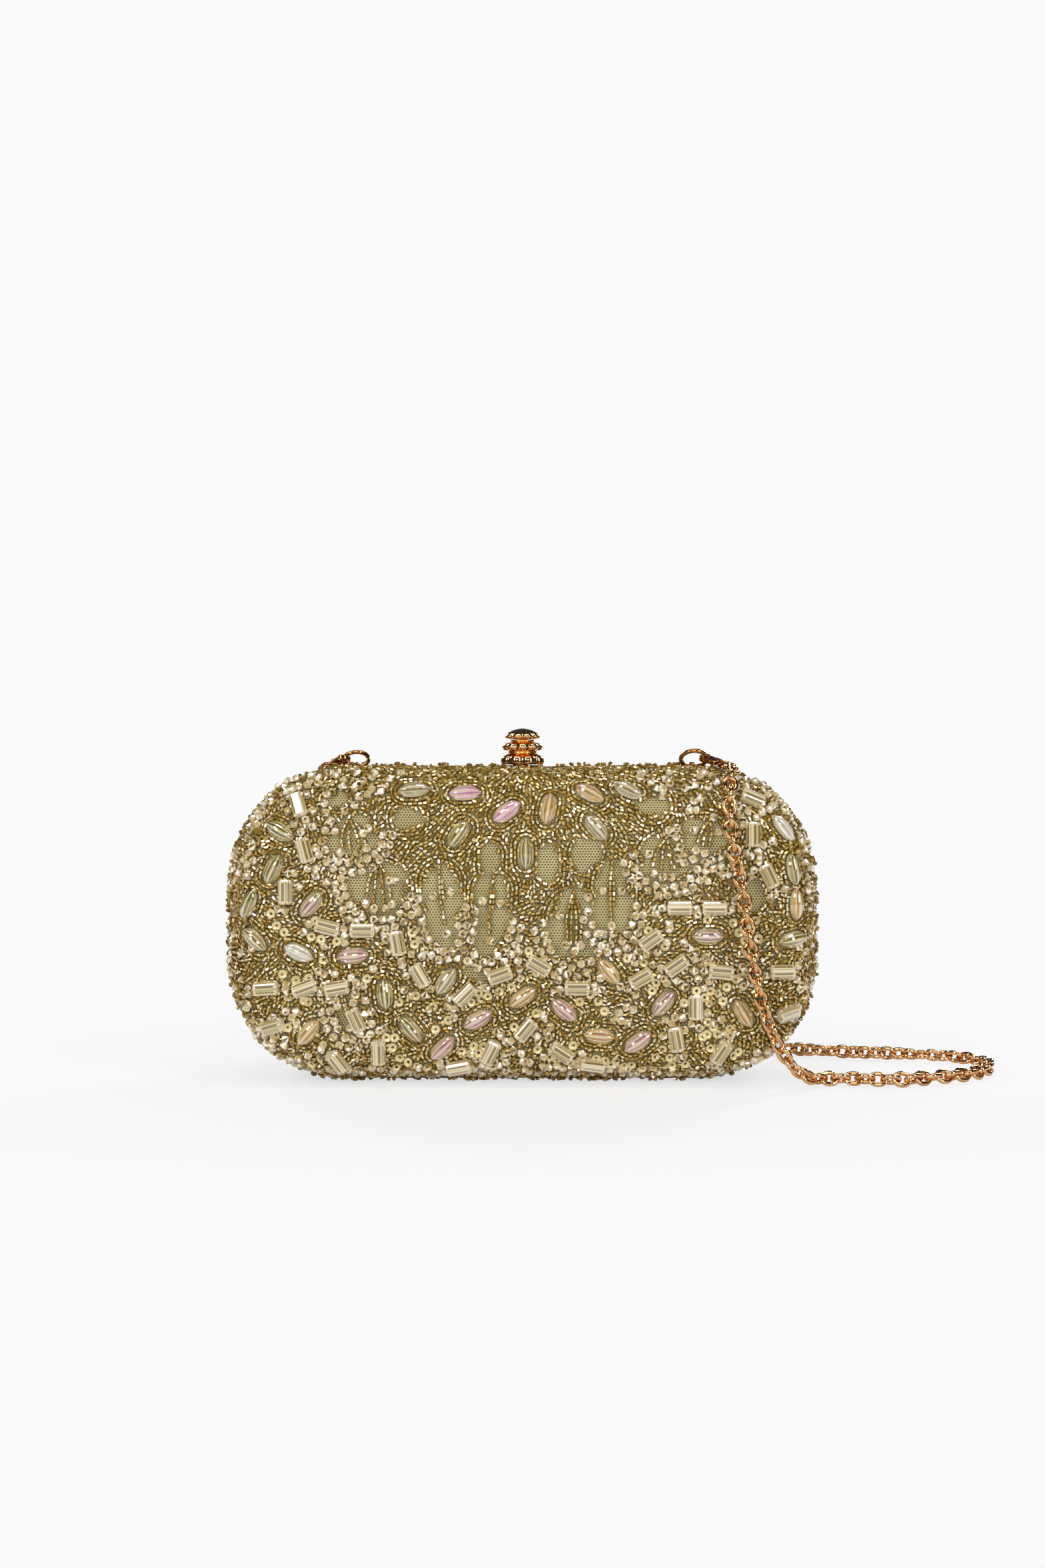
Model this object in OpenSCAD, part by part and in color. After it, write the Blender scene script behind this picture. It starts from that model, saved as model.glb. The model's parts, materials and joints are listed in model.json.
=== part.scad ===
// Beaded hard-shell evening bag: two half shells hinged at the bottom, a press knob on top, a chain strap.
// X runs to the right, Y to the back and Z up. The origin is the middle of the base, in the seam plane.
// The front half holds the knob; the back half swings backwards about the hinge pins.

/* [Bag] */
// Width over the seed-bead layer
bag_w = 188; // [160:1:220]
// Height over the seed-bead layer
bag_h = 101; // [94:1:120]
// Depth of both halves together
bag_d = 50; // [44:1:64]
// Radius of the outline's four corners
corner_r = 39; // [30:1:42]
// Radius of the rounded edge between face and side
edge_r = 15; // [10:1:17]

/* [Layers] */
// Thickness of the seed-bead layer
bead_t = 1.5; // [1:0.1:2]
// Thickness of the net and its backing cloth
cover_t = 0.45; // [0.3:0.05:0.8]
// Thickness of the rigid shell
shell_t = 1.45; // [1:0.05:2.5]
// Thickness of the lining
lining_t = 0.55; // [0.3:0.05:1]
// Width of each frame rim, measured front to back
rim_w = 2.45; // [2:0.05:4]

/* [Knob] */
// Radius of the widest petal tier
knob_r = 7.3; // [6.8:0.1:9]
// Number of petals in each tier
petals = 8; // [8:1:12]
// Radius of the push rod
rod_r = 1.6; // [1.2:0.1:2]
// How far the knob travels when pressed
knob_travel = 2.2; // [1.8:0.1:2.4]

/* [Rings and clasps] */
// Distance of each ring from the middle of the bag
ring_x = 55; // [40:1:60]
// Radius of a ring, to the middle of its wire
ring_r = 4.2; // [4:0.1:5]
// Radius of a ring's wire
ring_wire_r = 0.62; // [0.5:0.02:0.7]
// Lean of a ring from upright, in degrees
ring_lean = 52; // [48:1:56]
// Turn of a clasp about its ring, in degrees
clasp_turn = 50; // [45:1:55]

/* [Stones] */
// Length of a pointed oval stone
navette_l = 10; // [8:0.5:11]
// Width of a pointed oval stone
navette_w = 5; // [4:0.5:5.5]
// Height of a pointed oval stone
navette_h = 2.2; // [1.5:0.1:2.5]
// Length of a rectangular bead
block_l = 7.8; // [6:0.2:8]
// Width of a rectangular bead
block_w = 4.8; // [4:0.2:5]
// Height of a rectangular bead
block_h = 2.6; // [2:0.1:2.8]

/* [Chain] */
// Width of the chain as it lies, with its links rolled on their corners
chain_d = 5.2; // [4.6:0.1:5.4]

/* [Hidden] */
$fn = 64;

half_w = bag_w / 2;
half_h = bag_h / 2;
half_d = bag_d / 2;
gap = 0.05;                 // between two layers, so that no two solids share a wall
seam_gap = 0.15;            // from the seam plane to each frame
straight_w = half_w - corner_r;
straight_h = half_h - corner_r;

// Depth of each layer's outer face below the outside of the bead layer
cover_in = bead_t + gap;
shell_in = cover_in + cover_t + gap;
lining_in = shell_in + shell_t + gap;
cavity_in = lining_in + lining_t;
rim_in = 0.6;
layer_start = seam_gap + rim_w + gap;

// Knob heights, from the lock plate up
rim_bottom = bag_h - cavity_in;
plate_t = 1.6;
collar_r = 5.75;
collar_top = 100.8;
collar_floor = rim_bottom + 0.7;
spring_seat_r = 4;
slide_clear = 0.05;         // radial play of the rod in its bores
skirt_z = [101.1, 104.2];
skirt_roof = collar_top + knob_travel + 0.5;
skirt_bore_r = 6;
middle_z = [105.5, 107.7];
crown_z = [109.3, 111.6];
knob_top = 112.8;
neck_r = [5, 4];
notch_r = knob_r + 0.7;     // opening in both halves round the knob
hook_z = 90.4;
hook_t = 1.2;
hook_top = 93.8;
hook_nose = [3, 3.9];       // front and back face of the hook's nose
hook_w = 5;
catch_y = [1.8, 2.6];
catch_z = [92.2, 94.6];
catch_half_w = 13;
catch_leg_x = 9;

// Hinges
hinge_x = 45;
hinge_z = 1.3;
knuckle_r = 1.1;
knuckle_l = 5;
knuckle_gap = 0.1;
pin_r = 0.5;
pin_clear = 0.03;
leaf_z = [0.3, 1.15];
leaf_reach = layer_start - 0.1;
seam_relief = 1;            // how far each rim is cut back from the seam below the hinge axis

// Lugs, rings and clasps, in the right-hand side's place
lug_y = -5;
ring_z = 100.2;
lug_t = 1.4;
lug_r = 1.5;
lug_hole_r = ring_wire_r + 0.1;
post_r = 1.1;
clasp_tilt = 20;
clasp_t = 1.4;
claw_r = 2.5;
claw_hole_r = 1.55;
wire_seat = [0.2, -0.3];    // where the ring's wire lies in the claw
gate_pin = [3.9, 0.9];
gate_t = 0.7;
gate_pin_r = 0.35;
eye_x = 6;
eye_r = 1.3;
eye_hole_r = 0.75;
eye_t = 1;
jump_r = 2.1;
jump_wire_r = 0.55;

// Colours
gold = "#d9a066";
dark_gold = "#9a6a3a";
bead_gold = "#b5a04e";
net_khaki = "#8f8a4a";
crystal = "#e8dcc0";
rose_stone = "#d9b3b8";
satin = "#cdbf95";
board = "#6f6a60";

// Where the stones sit on a face: across, up, and the angle of the long side from level
NAVETTES = [
    [-18, 92, 3], [-5, 86, 35], [8, 87, 80], [21, 92, -30], [33, 93, -30], [-34, 93, 5],
    [-20, 79, 55], [1, 73, 90], [23, 81, -50], [82, 81, -50], [85, 68, -80], [86, 57, 90],
    [85, 46, 10], [58, 47, 0], [44, 26, 50], [36, 14, 35], [24, 16, -5], [13, 24, -40],
    [0, 28, 35], [-14, 21, 30], [-25, 12, 45], [-35, 18, -50], [-43, 29, -85], [-24, 33, 55],
    [-53, 41, 5], [-70, 42, -25], [-67, 17, 50], [-66, 57, 50], [-78, 68, 65], [-76, 80, -30],
    [-86, 57, 65], [-84, 46, -40], [27, 36, -50], [69, 23, -60]
];
BLOCK_BEADS = [
    [-70, 88, -70], [-68, 74, -75], [-74, 61, 90], [-61, 50, -15], [-50, 49, 0], [-39, 45, -80],
    [-32, 35, -60], [-18, 29, 45], [-7, 35, 20], [5, 38, -30], [17, 31, 0], [37, 34, 30],
    [40, 46, 35], [48, 38, 35], [49, 56, 0], [60, 56, 0], [54, 25, 90], [48, 15, -80],
    [62, 11, 60], [62, 36, -5], [81, 36, 0], [83, 23, 10], [77, 66, -65], [72, 79, 90],
    [72, 90, -20], [-58, 31, 10], [-68, 31, 20], [-80, 31, 5], [-52, 21, -65], [-45, 11, 90],
    [-58, 8, -60], [-78, 19, 20], [1, 18, 50], [-10, 11, 65], [-20, 6, 15], [12, 11, -35], [22, 7, -10]
];

// The chain's route: right clasp, down the front, along the floor, round behind, into the coil
FRONT_ROUTE = [
    [66.6, -17.6, 100.5], [66.2, -20.6, 99.3], [65.4, -23.8, 96.6], [64.6, -26.7, 92.6], [64.2, -28.7, 87.2],
    [65, -29.3, 77], [66.8, -29.4, 69], [68.5, -29.5, 60], [69.8, -29.5, 49.5], [71.2, -29.6, 41.5],
    [72.8, -29.8, 33], [74.8, -30, 25], [77.3, -30, 18], [80, -29.8, 12.3], [83.6, -29.2, 7.4], [88, -27.6, 4]
];
FLOOR_ROUTE = [
    [88, -27.6, 4], [92.5, -25, 2.7], [97, -23.6, 2.6], [104, -24, 2.6], [112, -25.6, 2.6], [120, -25.2, 2.6],
    [128, -21.8, 2.6], [136, -18.2, 2.6], [143, -13.6, 2.6], [149, -6.4, 2.6], [152.4, 2.6, 2.6],
    [152.6, 11.8, 2.6], [148.6, 19.6, 2.6], [141.4, 25, 2.6], [134, 28, 2.6], [126, 30.6, 2.6],
    [118, 32.2, 2.6], [110, 34.4, 2.6], [102, 37.4, 2.6], [94, 41, 2.6], [84, 45.4, 2.6], [72, 48.6, 2.6],
    [58, 50.8, 2.6], [42, 52.2, 2.6], [26, 52.9, 2.6], [12, 53, 2.6]
];
BACK_ROUTE = [
    [-2, 71.6, 7.9], [-12, 69.8, 7.9], [-22, 65.6, 7.9], [-31, 60.2, 7.4], [-39, 54.8, 5.2], [-47, 50.2, 3.2],
    [-55, 46.4, 2.6], [-63, 42.6, 2.7], [-69.4, 37.8, 4.6], [-72.6, 33, 9.6], [-73.4, 30.8, 16.4],
    [-73, 30.2, 25], [-71.8, 30, 34], [-70.4, 29.8, 43], [-69, 29.6, 52], [-67.6, 29.5, 61],
    [-66.2, 29.4, 70], [-65, 29.3, 79], [-64.2, 28.7, 87.2], [-64.6, 26.7, 92.6], [-65.4, 23.8, 96.6],
    [-66.2, 20.6, 99.3], [-66.6, 17.6, 100.5]
];
coil_centre = [10, 92];
coil_outer_r = 39;          // middle of the chain in the outermost turn
coil_turns = 3;
coil_pitch = 6.2;
tube_sides = 8;

// ---- Half shells ----

// Section of the rounded slab, from its corner's axis (x) and from the seam plane outwards (y)
module edge_section(inset, start) {
    intersection() {
        union() {
            square([corner_r - edge_r, half_d - inset]);
            square([corner_r - inset, half_d - edge_r]);
            translate([corner_r - edge_r, half_d - edge_r]) circle(edge_r - inset);
            translate([0, -half_d]) square([corner_r - inset, half_d]);
        }
        translate([0, start]) square([corner_r, half_d - start]);
    }
}

// Solid of the front half, drawn in by inset, from the plane y = -start forwards
module half_block(inset, start) {
    rotate([90, 0, 0]) {
        for (side = [-1, 1], level = [-1, 1])
            translate([side * straight_w, half_h + level * straight_h, 0])
                rotate([0, 0, side > 0 ? (level > 0 ? 0 : 270) : (level > 0 ? 90 : 180)])
                    rotate_extrude(angle = 90) edge_section(inset, start);
        for (turn = [0, 180])
            translate([0, half_h, 0]) rotate([0, 0, turn]) {
                translate([-straight_w, straight_h, 0])
                    rotate([90, 0, 90]) linear_extrude(2 * straight_w) edge_section(inset, start);
                translate([straight_w, straight_h, 0])
                    rotate([90, 0, 0]) linear_extrude(2 * straight_h) edge_section(inset, start);
            }
        translate([-straight_w, half_h - straight_h, start])
            cube([2 * straight_w, 2 * straight_h, half_d - inset - start]);
    }
}

// One layer of the front half between two depths
module layer(outer_in, inner_in) {
    difference() {
        half_block(outer_in, layer_start);
        half_block(inner_in, layer_start - 1);
        knob_notch();
    }
}

module knob_notch() {
    translate([0, 0, rim_bottom - 0.01]) cylinder(r = notch_r, h = bag_h);
}

// The back half is the front half turned about the upright axis
module to_back() {
    rotate([0, 0, 180]) children();
}

module beadwork() {
    color(bead_gold) difference() {
        layer(0, bead_t);
        ring_pocket();
    }
}

module net_cover() {
    color(net_khaki) difference() {
        layer(cover_in, cover_in + cover_t);
        lug_bore();
    }
}

module shell() {
    color(board) difference() {
        layer(shell_in, shell_in + shell_t);
        lug_bore();
    }
}

module lining() {
    color(satin) layer(lining_in, cavity_in);
}

// Room in the bead layer for the ring's lower side
module ring_pocket() {
    translate([ring_x - ring_r - 1.6, lug_y - 2.5, bag_h - 5])
        cube([2 * ring_r + 3.2, 5, 10]);
}

// Hole for the lug's post and slot for its eye
module lug_bore() {
    translate([ring_x, lug_y, bag_h - 6]) cylinder(r = post_r + gap, h = 10);
    translate([ring_x - lug_t / 2 - gap, lug_y - lug_r - gap, ring_z - lug_r - gap])
        cube([lug_t + 2 * gap, 2 * (lug_r + gap), 5]);
}

// Seat in the rim for one hinge: its knuckles and its leaves
module hinge_seat(side) {
    seat_l = 3 * knuckle_l + 1;
    translate([side * hinge_x - seat_l / 2, 0, hinge_z]) rotate([0, 90, 0])
        cylinder(r = knuckle_r + 0.25, h = seat_l);
    translate([side * hinge_x - seat_l / 2, -layer_start, -1]) cube([seat_l, 2 * layer_start, 1 + leaf_z[1] + gap]);
}

// Rim of one half, cut back below the hinge axis so that it can turn
module frame() {
    color(gold) difference() {
        half_block(rim_in, seam_gap);
        half_block(cavity_in, seam_gap - 1);
        translate([-bag_w, -bag_d - layer_start + gap, -1]) cube([2 * bag_w, bag_d, bag_h + 2]);
        knob_notch();
        translate([-half_w, -seam_relief, -1]) cube([bag_w, 2 * seam_relief, 1 + hinge_z]);
        for (side = [-1, 1]) hinge_seat(side);
    }
}

// ---- Stones ----

// Distance of a point on the face inside the outline, and the outline's direction there
function corner_dx(x) = abs(x) - straight_w;
function corner_dz(z) = abs(z - half_h) - straight_h;
function in_corner(x, z) = corner_dx(x) > 0 && corner_dz(z) > 0;
function edge_inset(x, z) = corner_r
    - (in_corner(x, z) ? norm([corner_dx(x), corner_dz(z)]) : max(corner_dx(x), corner_dz(z)));
function outward(x, z) = in_corner(x, z)
    ? [sign(x) * corner_dx(x), sign(z - half_h) * corner_dz(z)] / norm([corner_dx(x), corner_dz(z)])
    : corner_dx(x) > corner_dz(z) ? [sign(x), 0] : [0, sign(z - half_h)];
function edge_tilt(x, z) = asin(max(0, 1 - edge_inset(x, z) / edge_r));

// Puts a stone on the front face with its back against the bead layer
module on_face(x, z, turn) {
    tilt = edge_tilt(x, z);
    out = outward(x, z);
    translate([x, -(half_d - edge_r + edge_r * cos(tilt)), z])
        rotate(a = tilt, v = [-out[1], 0, out[0]])
            rotate([90, 0, 0]) rotate([0, 0, turn]) translate([0, 0, gap]) children();
}

module navette() {
    side_r = (navette_l * navette_l + navette_w * navette_w) / (4 * navette_w);
    linear_extrude(navette_h) intersection() {
        translate([0, side_r - navette_w / 2]) circle(side_r);
        translate([0, navette_w / 2 - side_r]) circle(side_r);
    }
}

module block_bead() {
    bevel = block_h * 0.35;
    translate([-block_l / 2, 0, 0]) rotate([90, 0, 90]) linear_extrude(block_l)
        polygon([
            [-block_w / 2, 0], [block_w / 2, 0], [block_w / 2, block_h - bevel], [block_w / 2 - bevel, block_h],
            [bevel - block_w / 2, block_h], [-block_w / 2, block_h - bevel]
        ]);
}

module navettes() {
    color(rose_stone) for (s = NAVETTES) on_face(s[0], s[1], s[2]) navette();
}

module block_beads() {
    color(crystal) for (s = BLOCK_BEADS) on_face(s[0], s[1], s[2]) block_bead();
}

module slip_pocket() {
    pocket_w = 90;
    pocket_t = 0.6;
    round_r = 8;
    color(satin) translate([0, half_d - cavity_in - gap, 0]) rotate([90, 0, 0]) linear_extrude(pocket_t)
        union() {
            translate([-pocket_w / 2, 22 + round_r]) square([pocket_w, 36]);
            translate([round_r - pocket_w / 2, 22]) square([pocket_w - 2 * round_r, round_r]);
            for (side = [-1, 1]) translate([side * (pocket_w / 2 - round_r), 22 + round_r]) circle(round_r);
        }
}

// ---- Hinges ----

module along_hinge(from, length, r) {
    translate([from, 0, hinge_z]) rotate([0, 90, 0]) cylinder(r = r, h = length);
}

// A knuckle with the leaf that fixes it under the front rim
module knuckle(from, length) {
    difference() {
        union() {
            along_hinge(from, length, knuckle_r);
            translate([from, -leaf_reach, leaf_z[0]]) cube([length, leaf_reach, leaf_z[1] - leaf_z[0]]);
        }
        along_hinge(from - 1, length + 2, pin_r + pin_clear);
    }
}

module hinge_leaves(outer) {
    clear_l = knuckle_l - 2 * knuckle_gap;
    color(dark_gold) for (side = [-1, 1]) translate([side * hinge_x, 0, 0])
        if (outer) {
            for (end = [-1, 1]) knuckle(end * knuckle_l - clear_l / 2, clear_l);
        } else {
            knuckle(-clear_l / 2, clear_l);
        }
}

module hinge_pins() {
    color(gold) for (side = [-1, 1])
        translate([side * hinge_x, 0, 0]) along_hinge(-1.5 * knuckle_l, 3 * knuckle_l, pin_r);
}

// ---- Knob and latch ----

module ring_shape(r_out, r_in, z0, z1) {
    translate([0, 0, z0]) difference() {
        cylinder(r = r_out, h = z1 - z0);
        translate([0, 0, -1]) cylinder(r = r_in, h = z1 - z0 + 2);
    }
}

module lock_plate() {
    color(gold) difference() {
        union() {
            translate([0, 0, rim_bottom - plate_t]) cylinder(r = collar_r + 0.5, h = plate_t);
            translate([-15, -9, rim_bottom - plate_t]) cube([30, 9 - seam_gap, plate_t]);
        }
        cylinder(r = rod_r + slide_clear, h = bag_h);
    }
}

module knob_collar() {
    color(dark_gold) difference() {
        ring_shape(collar_r, rod_r + slide_clear, rim_bottom, collar_top);
        translate([0, 0, collar_floor]) cylinder(r = spring_seat_r, h = 5);
    }
}

module knob_rod() {
    color(dark_gold) translate([0, 0, hook_z]) cylinder(r = rod_r, h = crown_z[1] - hook_z);
}

// A disc edged with round petals, with a bore for the rod
module petal_tier(core_r, r, petal_r, z, phase) {
    difference() {
        translate([0, 0, z[0]]) union() {
            cylinder(r = core_r, h = z[1] - z[0]);
            for (i = [0 : petals - 1])
                rotate([0, 0, phase + i * 360 / petals]) translate([r - petal_r, 0, 0])
                    cylinder(r = petal_r, h = z[1] - z[0]);
        }
        translate([0, 0, z[0] - 1]) cylinder(r = rod_r, h = z[1] - z[0] + 2);
    }
}

module knob_skirt() {
    color(gold) {
        difference() {
            petal_tier(6.6, knob_r, 1.9, skirt_z, 90 + 180 / petals);
            translate([0, 0, skirt_z[0] - 1]) cylinder(r = skirt_bore_r, h = skirt_roof - skirt_z[0] + 1);
        }
        ring_shape(neck_r[0], rod_r, skirt_z[1], middle_z[0]);
    }
}

module knob_middle() {
    color(gold) {
        petal_tier(5.6, 6.5, 1.9, middle_z, 90);
        ring_shape(neck_r[1], rod_r, middle_z[1], crown_z[0]);
    }
}

module knob_crown() {
    color(gold) union() {
        petal_tier(5.1, 6, 1.8, crown_z, 90 + 180 / petals);
        translate([0, 0, crown_z[1]]) cylinder(r1 = 3.6, r2 = 1, h = knob_top - crown_z[1]);
    }
}

// Hook below the lock plate: its nose stands behind the catch until the knob is pressed
module latch_hook() {
    color(dark_gold) difference() {
        union() {
            translate([-hook_w / 2, -2.6, hook_z]) cube([hook_w, 2.6 + hook_nose[1], hook_t]);
            translate([-hook_w / 2, hook_nose[0], hook_z])
                cube([hook_w, hook_nose[1] - hook_nose[0], hook_top - hook_z]);
        }
        cylinder(r = rod_r, h = bag_h);
    }
}

// Strap on the back frame: two legs and the bar that the hook holds
module latch_catch() {
    depth = catch_y[1] - catch_y[0];
    color(gold) {
        translate([-catch_half_w, catch_y[0], catch_z[0]]) cube([2 * catch_half_w, depth, catch_z[1] - catch_z[0]]);
        for (side = [-1, 1])
            translate([side > 0 ? catch_leg_x : -catch_half_w, catch_y[0], catch_z[0]])
                cube([catch_half_w - catch_leg_x, depth, rim_bottom - catch_z[0]]);
    }
}

// Points round one ring of a wire or tube, square to the way it runs there
function unit(v) = v / norm(v);
function run(p, i) = unit(p[min(i + 1, len(p) - 1)] - p[max(min(i, len(p) - 1) - 1, 0)]);
function square_to(u, t) = unit(u - (u * t) * t);
// The side direction at each point, carried along so that the tube doesn't twist
function carried_sides(p) = [
    for (i = 0, u = square_to([0.6, 0.5, 0.6], run(p, 0)); i < len(p); i = i + 1, u = square_to(u, run(p, i))) u
];
function tube_points(p, r, sides) = [
    let (across = carried_sides(p))
        for (i = [0 : len(p) - 1])
            let (u = across[i], v = cross(run(p, i), u))
                for (k = [0 : sides - 1])
                    p[i] + r * (u * cos(k * 360 / sides) + v * sin(k * 360 / sides))
];
function tube_faces(count, sides) = concat(
    [[for (k = [0 : sides - 1]) k]],
    [for (i = [0 : count - 2], k = [0 : sides - 1])
        [i * sides + k, (i + 1) * sides + k, (i + 1) * sides + (k + 1) % sides, i * sides + (k + 1) % sides]],
    [[for (k = [sides - 1 : -1 : 0]) (count - 1) * sides + k]]
);

module tube(route, r, sides) {
    polyhedron(tube_points(route, r, sides), tube_faces(len(route), sides), convexity = 8);
}

// Coil spring between the collar's floor and the skirt's roof
module knob_spring() {
    wire_r = 0.25;
    coil_r = 3;
    turns = 4;
    steps = 14;
    low = collar_floor + wire_r + gap;
    high = skirt_roof - wire_r - gap;
    path = [for (i = [0 : turns * steps])
        [coil_r * cos(i * 360 / steps), coil_r * sin(i * 360 / steps), low + (high - low) * i / (turns * steps)]];
    color("silver") tube(path, wire_r, 6);
}

// ---- Lugs, rings, clasps ----

module wire_ring(r, wire_r) {
    rotate_extrude() translate([r, 0]) circle(wire_r);
}

module lug() {
    color(gold) difference() {
        union() {
            translate([ring_x, lug_y, bag_h - shell_in - shell_t]) cylinder(r = post_r, h = 2.2);
            translate([ring_x - lug_t / 2, lug_y, ring_z]) rotate([0, 90, 0]) cylinder(r = lug_r, h = lug_t);
        }
        translate([ring_x - 3, lug_y, ring_z]) rotate([0, 90, 0]) cylinder(r = lug_hole_r, h = 6);
    }
}

// The ring stands on its wire in the lug's hole and leans outwards
module ring() {
    color(gold) translate([ring_x, lug_y, ring_z]) rotate([ring_lean, 0, 0])
        translate([0, 0, ring_r]) rotate([90, 0, 0]) wire_ring(ring_r, ring_wire_r);
}

// Clasp frame: its claw's axis runs along z, and the clasp points along x away from the ring
module in_clasp() {
    translate([
        ring_x + ring_r,
        lug_y - ring_r * sin(ring_lean),
        ring_z + ring_r * cos(ring_lean)
    ]) rotate([clasp_tilt, 0, 0]) rotate([0, 0, -clasp_turn]) translate([-wire_seat[0], -wire_seat[1], 0])
        children();
}

module clasp() {
    cheek_r = 1.7;
    color(gold) in_clasp() difference() {
        union() {
            linear_extrude(clasp_t, center = true) difference() {
                union() {
                    circle(claw_r);
                    polygon([[0, -claw_r], [4, -cheek_r], [4, cheek_r], [0, claw_r]]);
                    translate([4, 0]) circle(cheek_r);
                }
                circle(claw_hole_r);
                translate([0, -claw_hole_r]) square([1.4, 2 * claw_hole_r]);
                polygon([[-0.7, 0], [-0.7, 4], [2.6, 4], [2.6, 0]]);
            }
            translate([eye_x, eye_t / 2, 0]) rotate([90, 0, 0]) cylinder(r = eye_r, h = eye_t);
        }
        translate([eye_x, 3, 0]) rotate([90, 0, 0]) cylinder(r = eye_hole_r, h = 6);
        translate([2, 0, -gate_t / 2 - gap]) cube([2.95, 4, gate_t + 2 * gap]);
        translate([gate_pin[0], gate_pin[1], -2]) cylinder(r = gate_pin_r, h = 4);
    }
}

module clasp_gate() {
    color(dark_gold) in_clasp() translate([0, 0, -gate_t / 2]) difference() {
        union() {
            translate([gate_pin[0], gate_pin[1], 0]) cylinder(r = 0.75, h = gate_t);
            linear_extrude(gate_t) polygon([
                [-0.5, 1.65], [2.6, 1.1], [3.9, 0.3], [4.2, 1.55], [3.4, 2], [3, 2.7], [2.5, 2.1], [-0.3, 2.4]
            ]);
        }
        translate([gate_pin[0], gate_pin[1], -1]) cylinder(r = gate_pin_r + pin_clear, h = 3);
    }
}

module clasp_pin() {
    color(dark_gold) in_clasp() translate([gate_pin[0], gate_pin[1], -clasp_t / 2])
        cylinder(r = gate_pin_r, h = clasp_t);
}

module jump_ring() {
    color(gold) in_clasp() translate([eye_x + jump_r, 0, 0]) wire_ring(jump_r, jump_wire_r);
}

// ---- Chain ----

module chain_run(route) {
    color(gold) tube(route, chain_d / 2, tube_sides);
}

module chain_coil() {
    inner = coil_outer_r - coil_turns * coil_pitch - chain_d / 2;
    color(gold) translate([coil_centre[0], coil_centre[1], 0]) rotate_extrude()
        translate([inner, 0]) square([coil_outer_r + chain_d / 2 - inner, chain_d]);
}

beadwork();  // front_beadwork
net_cover();  // front_net_cover
shell();  // front_shell
lining();  // front_lining
frame();  // front_frame
navettes();  // front_navettes
block_beads();  // front_block_beads
to_back() beadwork();  // back_beadwork
to_back() net_cover();  // back_net_cover
to_back() shell();  // back_shell
to_back() lining();  // back_lining
to_back() frame();  // back_frame
to_back() navettes();  // back_navettes
to_back() block_beads();  // back_block_beads
slip_pocket();
hinge_leaves(true);  // front_hinge_leaves
to_back() hinge_leaves(false);  // back_hinge_leaves
hinge_pins();
lock_plate();
knob_collar();
knob_rod();
knob_skirt();
knob_middle();
knob_crown();
latch_hook();
latch_catch();
knob_spring();
lug();  // right_lug
ring();  // right_ring
clasp();  // right_clasp
clasp_gate();  // right_clasp_gate
clasp_pin();  // right_clasp_pin
jump_ring();  // right_jump_ring
to_back() lug();  // left_lug
to_back() ring();  // left_ring
to_back() clasp();  // left_clasp
to_back() clasp_gate();  // left_clasp_gate
to_back() clasp_pin();  // left_clasp_pin
to_back() jump_ring();  // left_jump_ring
chain_run(FRONT_ROUTE);  // chain_front
chain_run(FLOOR_ROUTE);  // chain_floor
chain_coil();
chain_run(BACK_ROUTE);  // chain_back
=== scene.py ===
import json
import math

import bpy
import numpy as np
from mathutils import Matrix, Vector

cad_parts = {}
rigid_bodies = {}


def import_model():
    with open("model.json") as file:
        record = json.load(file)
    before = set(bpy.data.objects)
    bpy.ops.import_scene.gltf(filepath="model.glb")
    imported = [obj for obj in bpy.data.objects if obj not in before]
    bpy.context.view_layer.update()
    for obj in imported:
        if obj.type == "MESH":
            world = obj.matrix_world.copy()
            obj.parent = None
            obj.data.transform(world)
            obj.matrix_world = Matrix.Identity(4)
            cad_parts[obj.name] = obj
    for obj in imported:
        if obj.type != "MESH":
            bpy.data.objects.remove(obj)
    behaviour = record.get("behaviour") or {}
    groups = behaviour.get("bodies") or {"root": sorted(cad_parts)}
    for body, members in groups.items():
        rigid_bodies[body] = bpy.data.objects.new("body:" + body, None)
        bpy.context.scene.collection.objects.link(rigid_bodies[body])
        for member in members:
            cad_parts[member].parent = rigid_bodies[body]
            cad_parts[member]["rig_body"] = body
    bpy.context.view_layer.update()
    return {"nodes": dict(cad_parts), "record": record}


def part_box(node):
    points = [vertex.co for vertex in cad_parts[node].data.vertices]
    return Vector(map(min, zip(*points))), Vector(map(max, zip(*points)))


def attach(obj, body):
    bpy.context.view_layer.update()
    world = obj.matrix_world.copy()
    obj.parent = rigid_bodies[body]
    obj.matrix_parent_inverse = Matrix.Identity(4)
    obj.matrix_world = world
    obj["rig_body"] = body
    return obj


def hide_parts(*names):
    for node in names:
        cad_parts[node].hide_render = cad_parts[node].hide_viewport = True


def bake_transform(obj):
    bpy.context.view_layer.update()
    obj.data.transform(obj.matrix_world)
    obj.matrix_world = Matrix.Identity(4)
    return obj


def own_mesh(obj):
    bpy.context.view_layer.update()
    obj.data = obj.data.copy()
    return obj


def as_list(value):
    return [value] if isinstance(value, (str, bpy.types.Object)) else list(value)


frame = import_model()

MM = 0.001
scene = bpy.context.scene

# ---- Sizes ----

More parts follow.
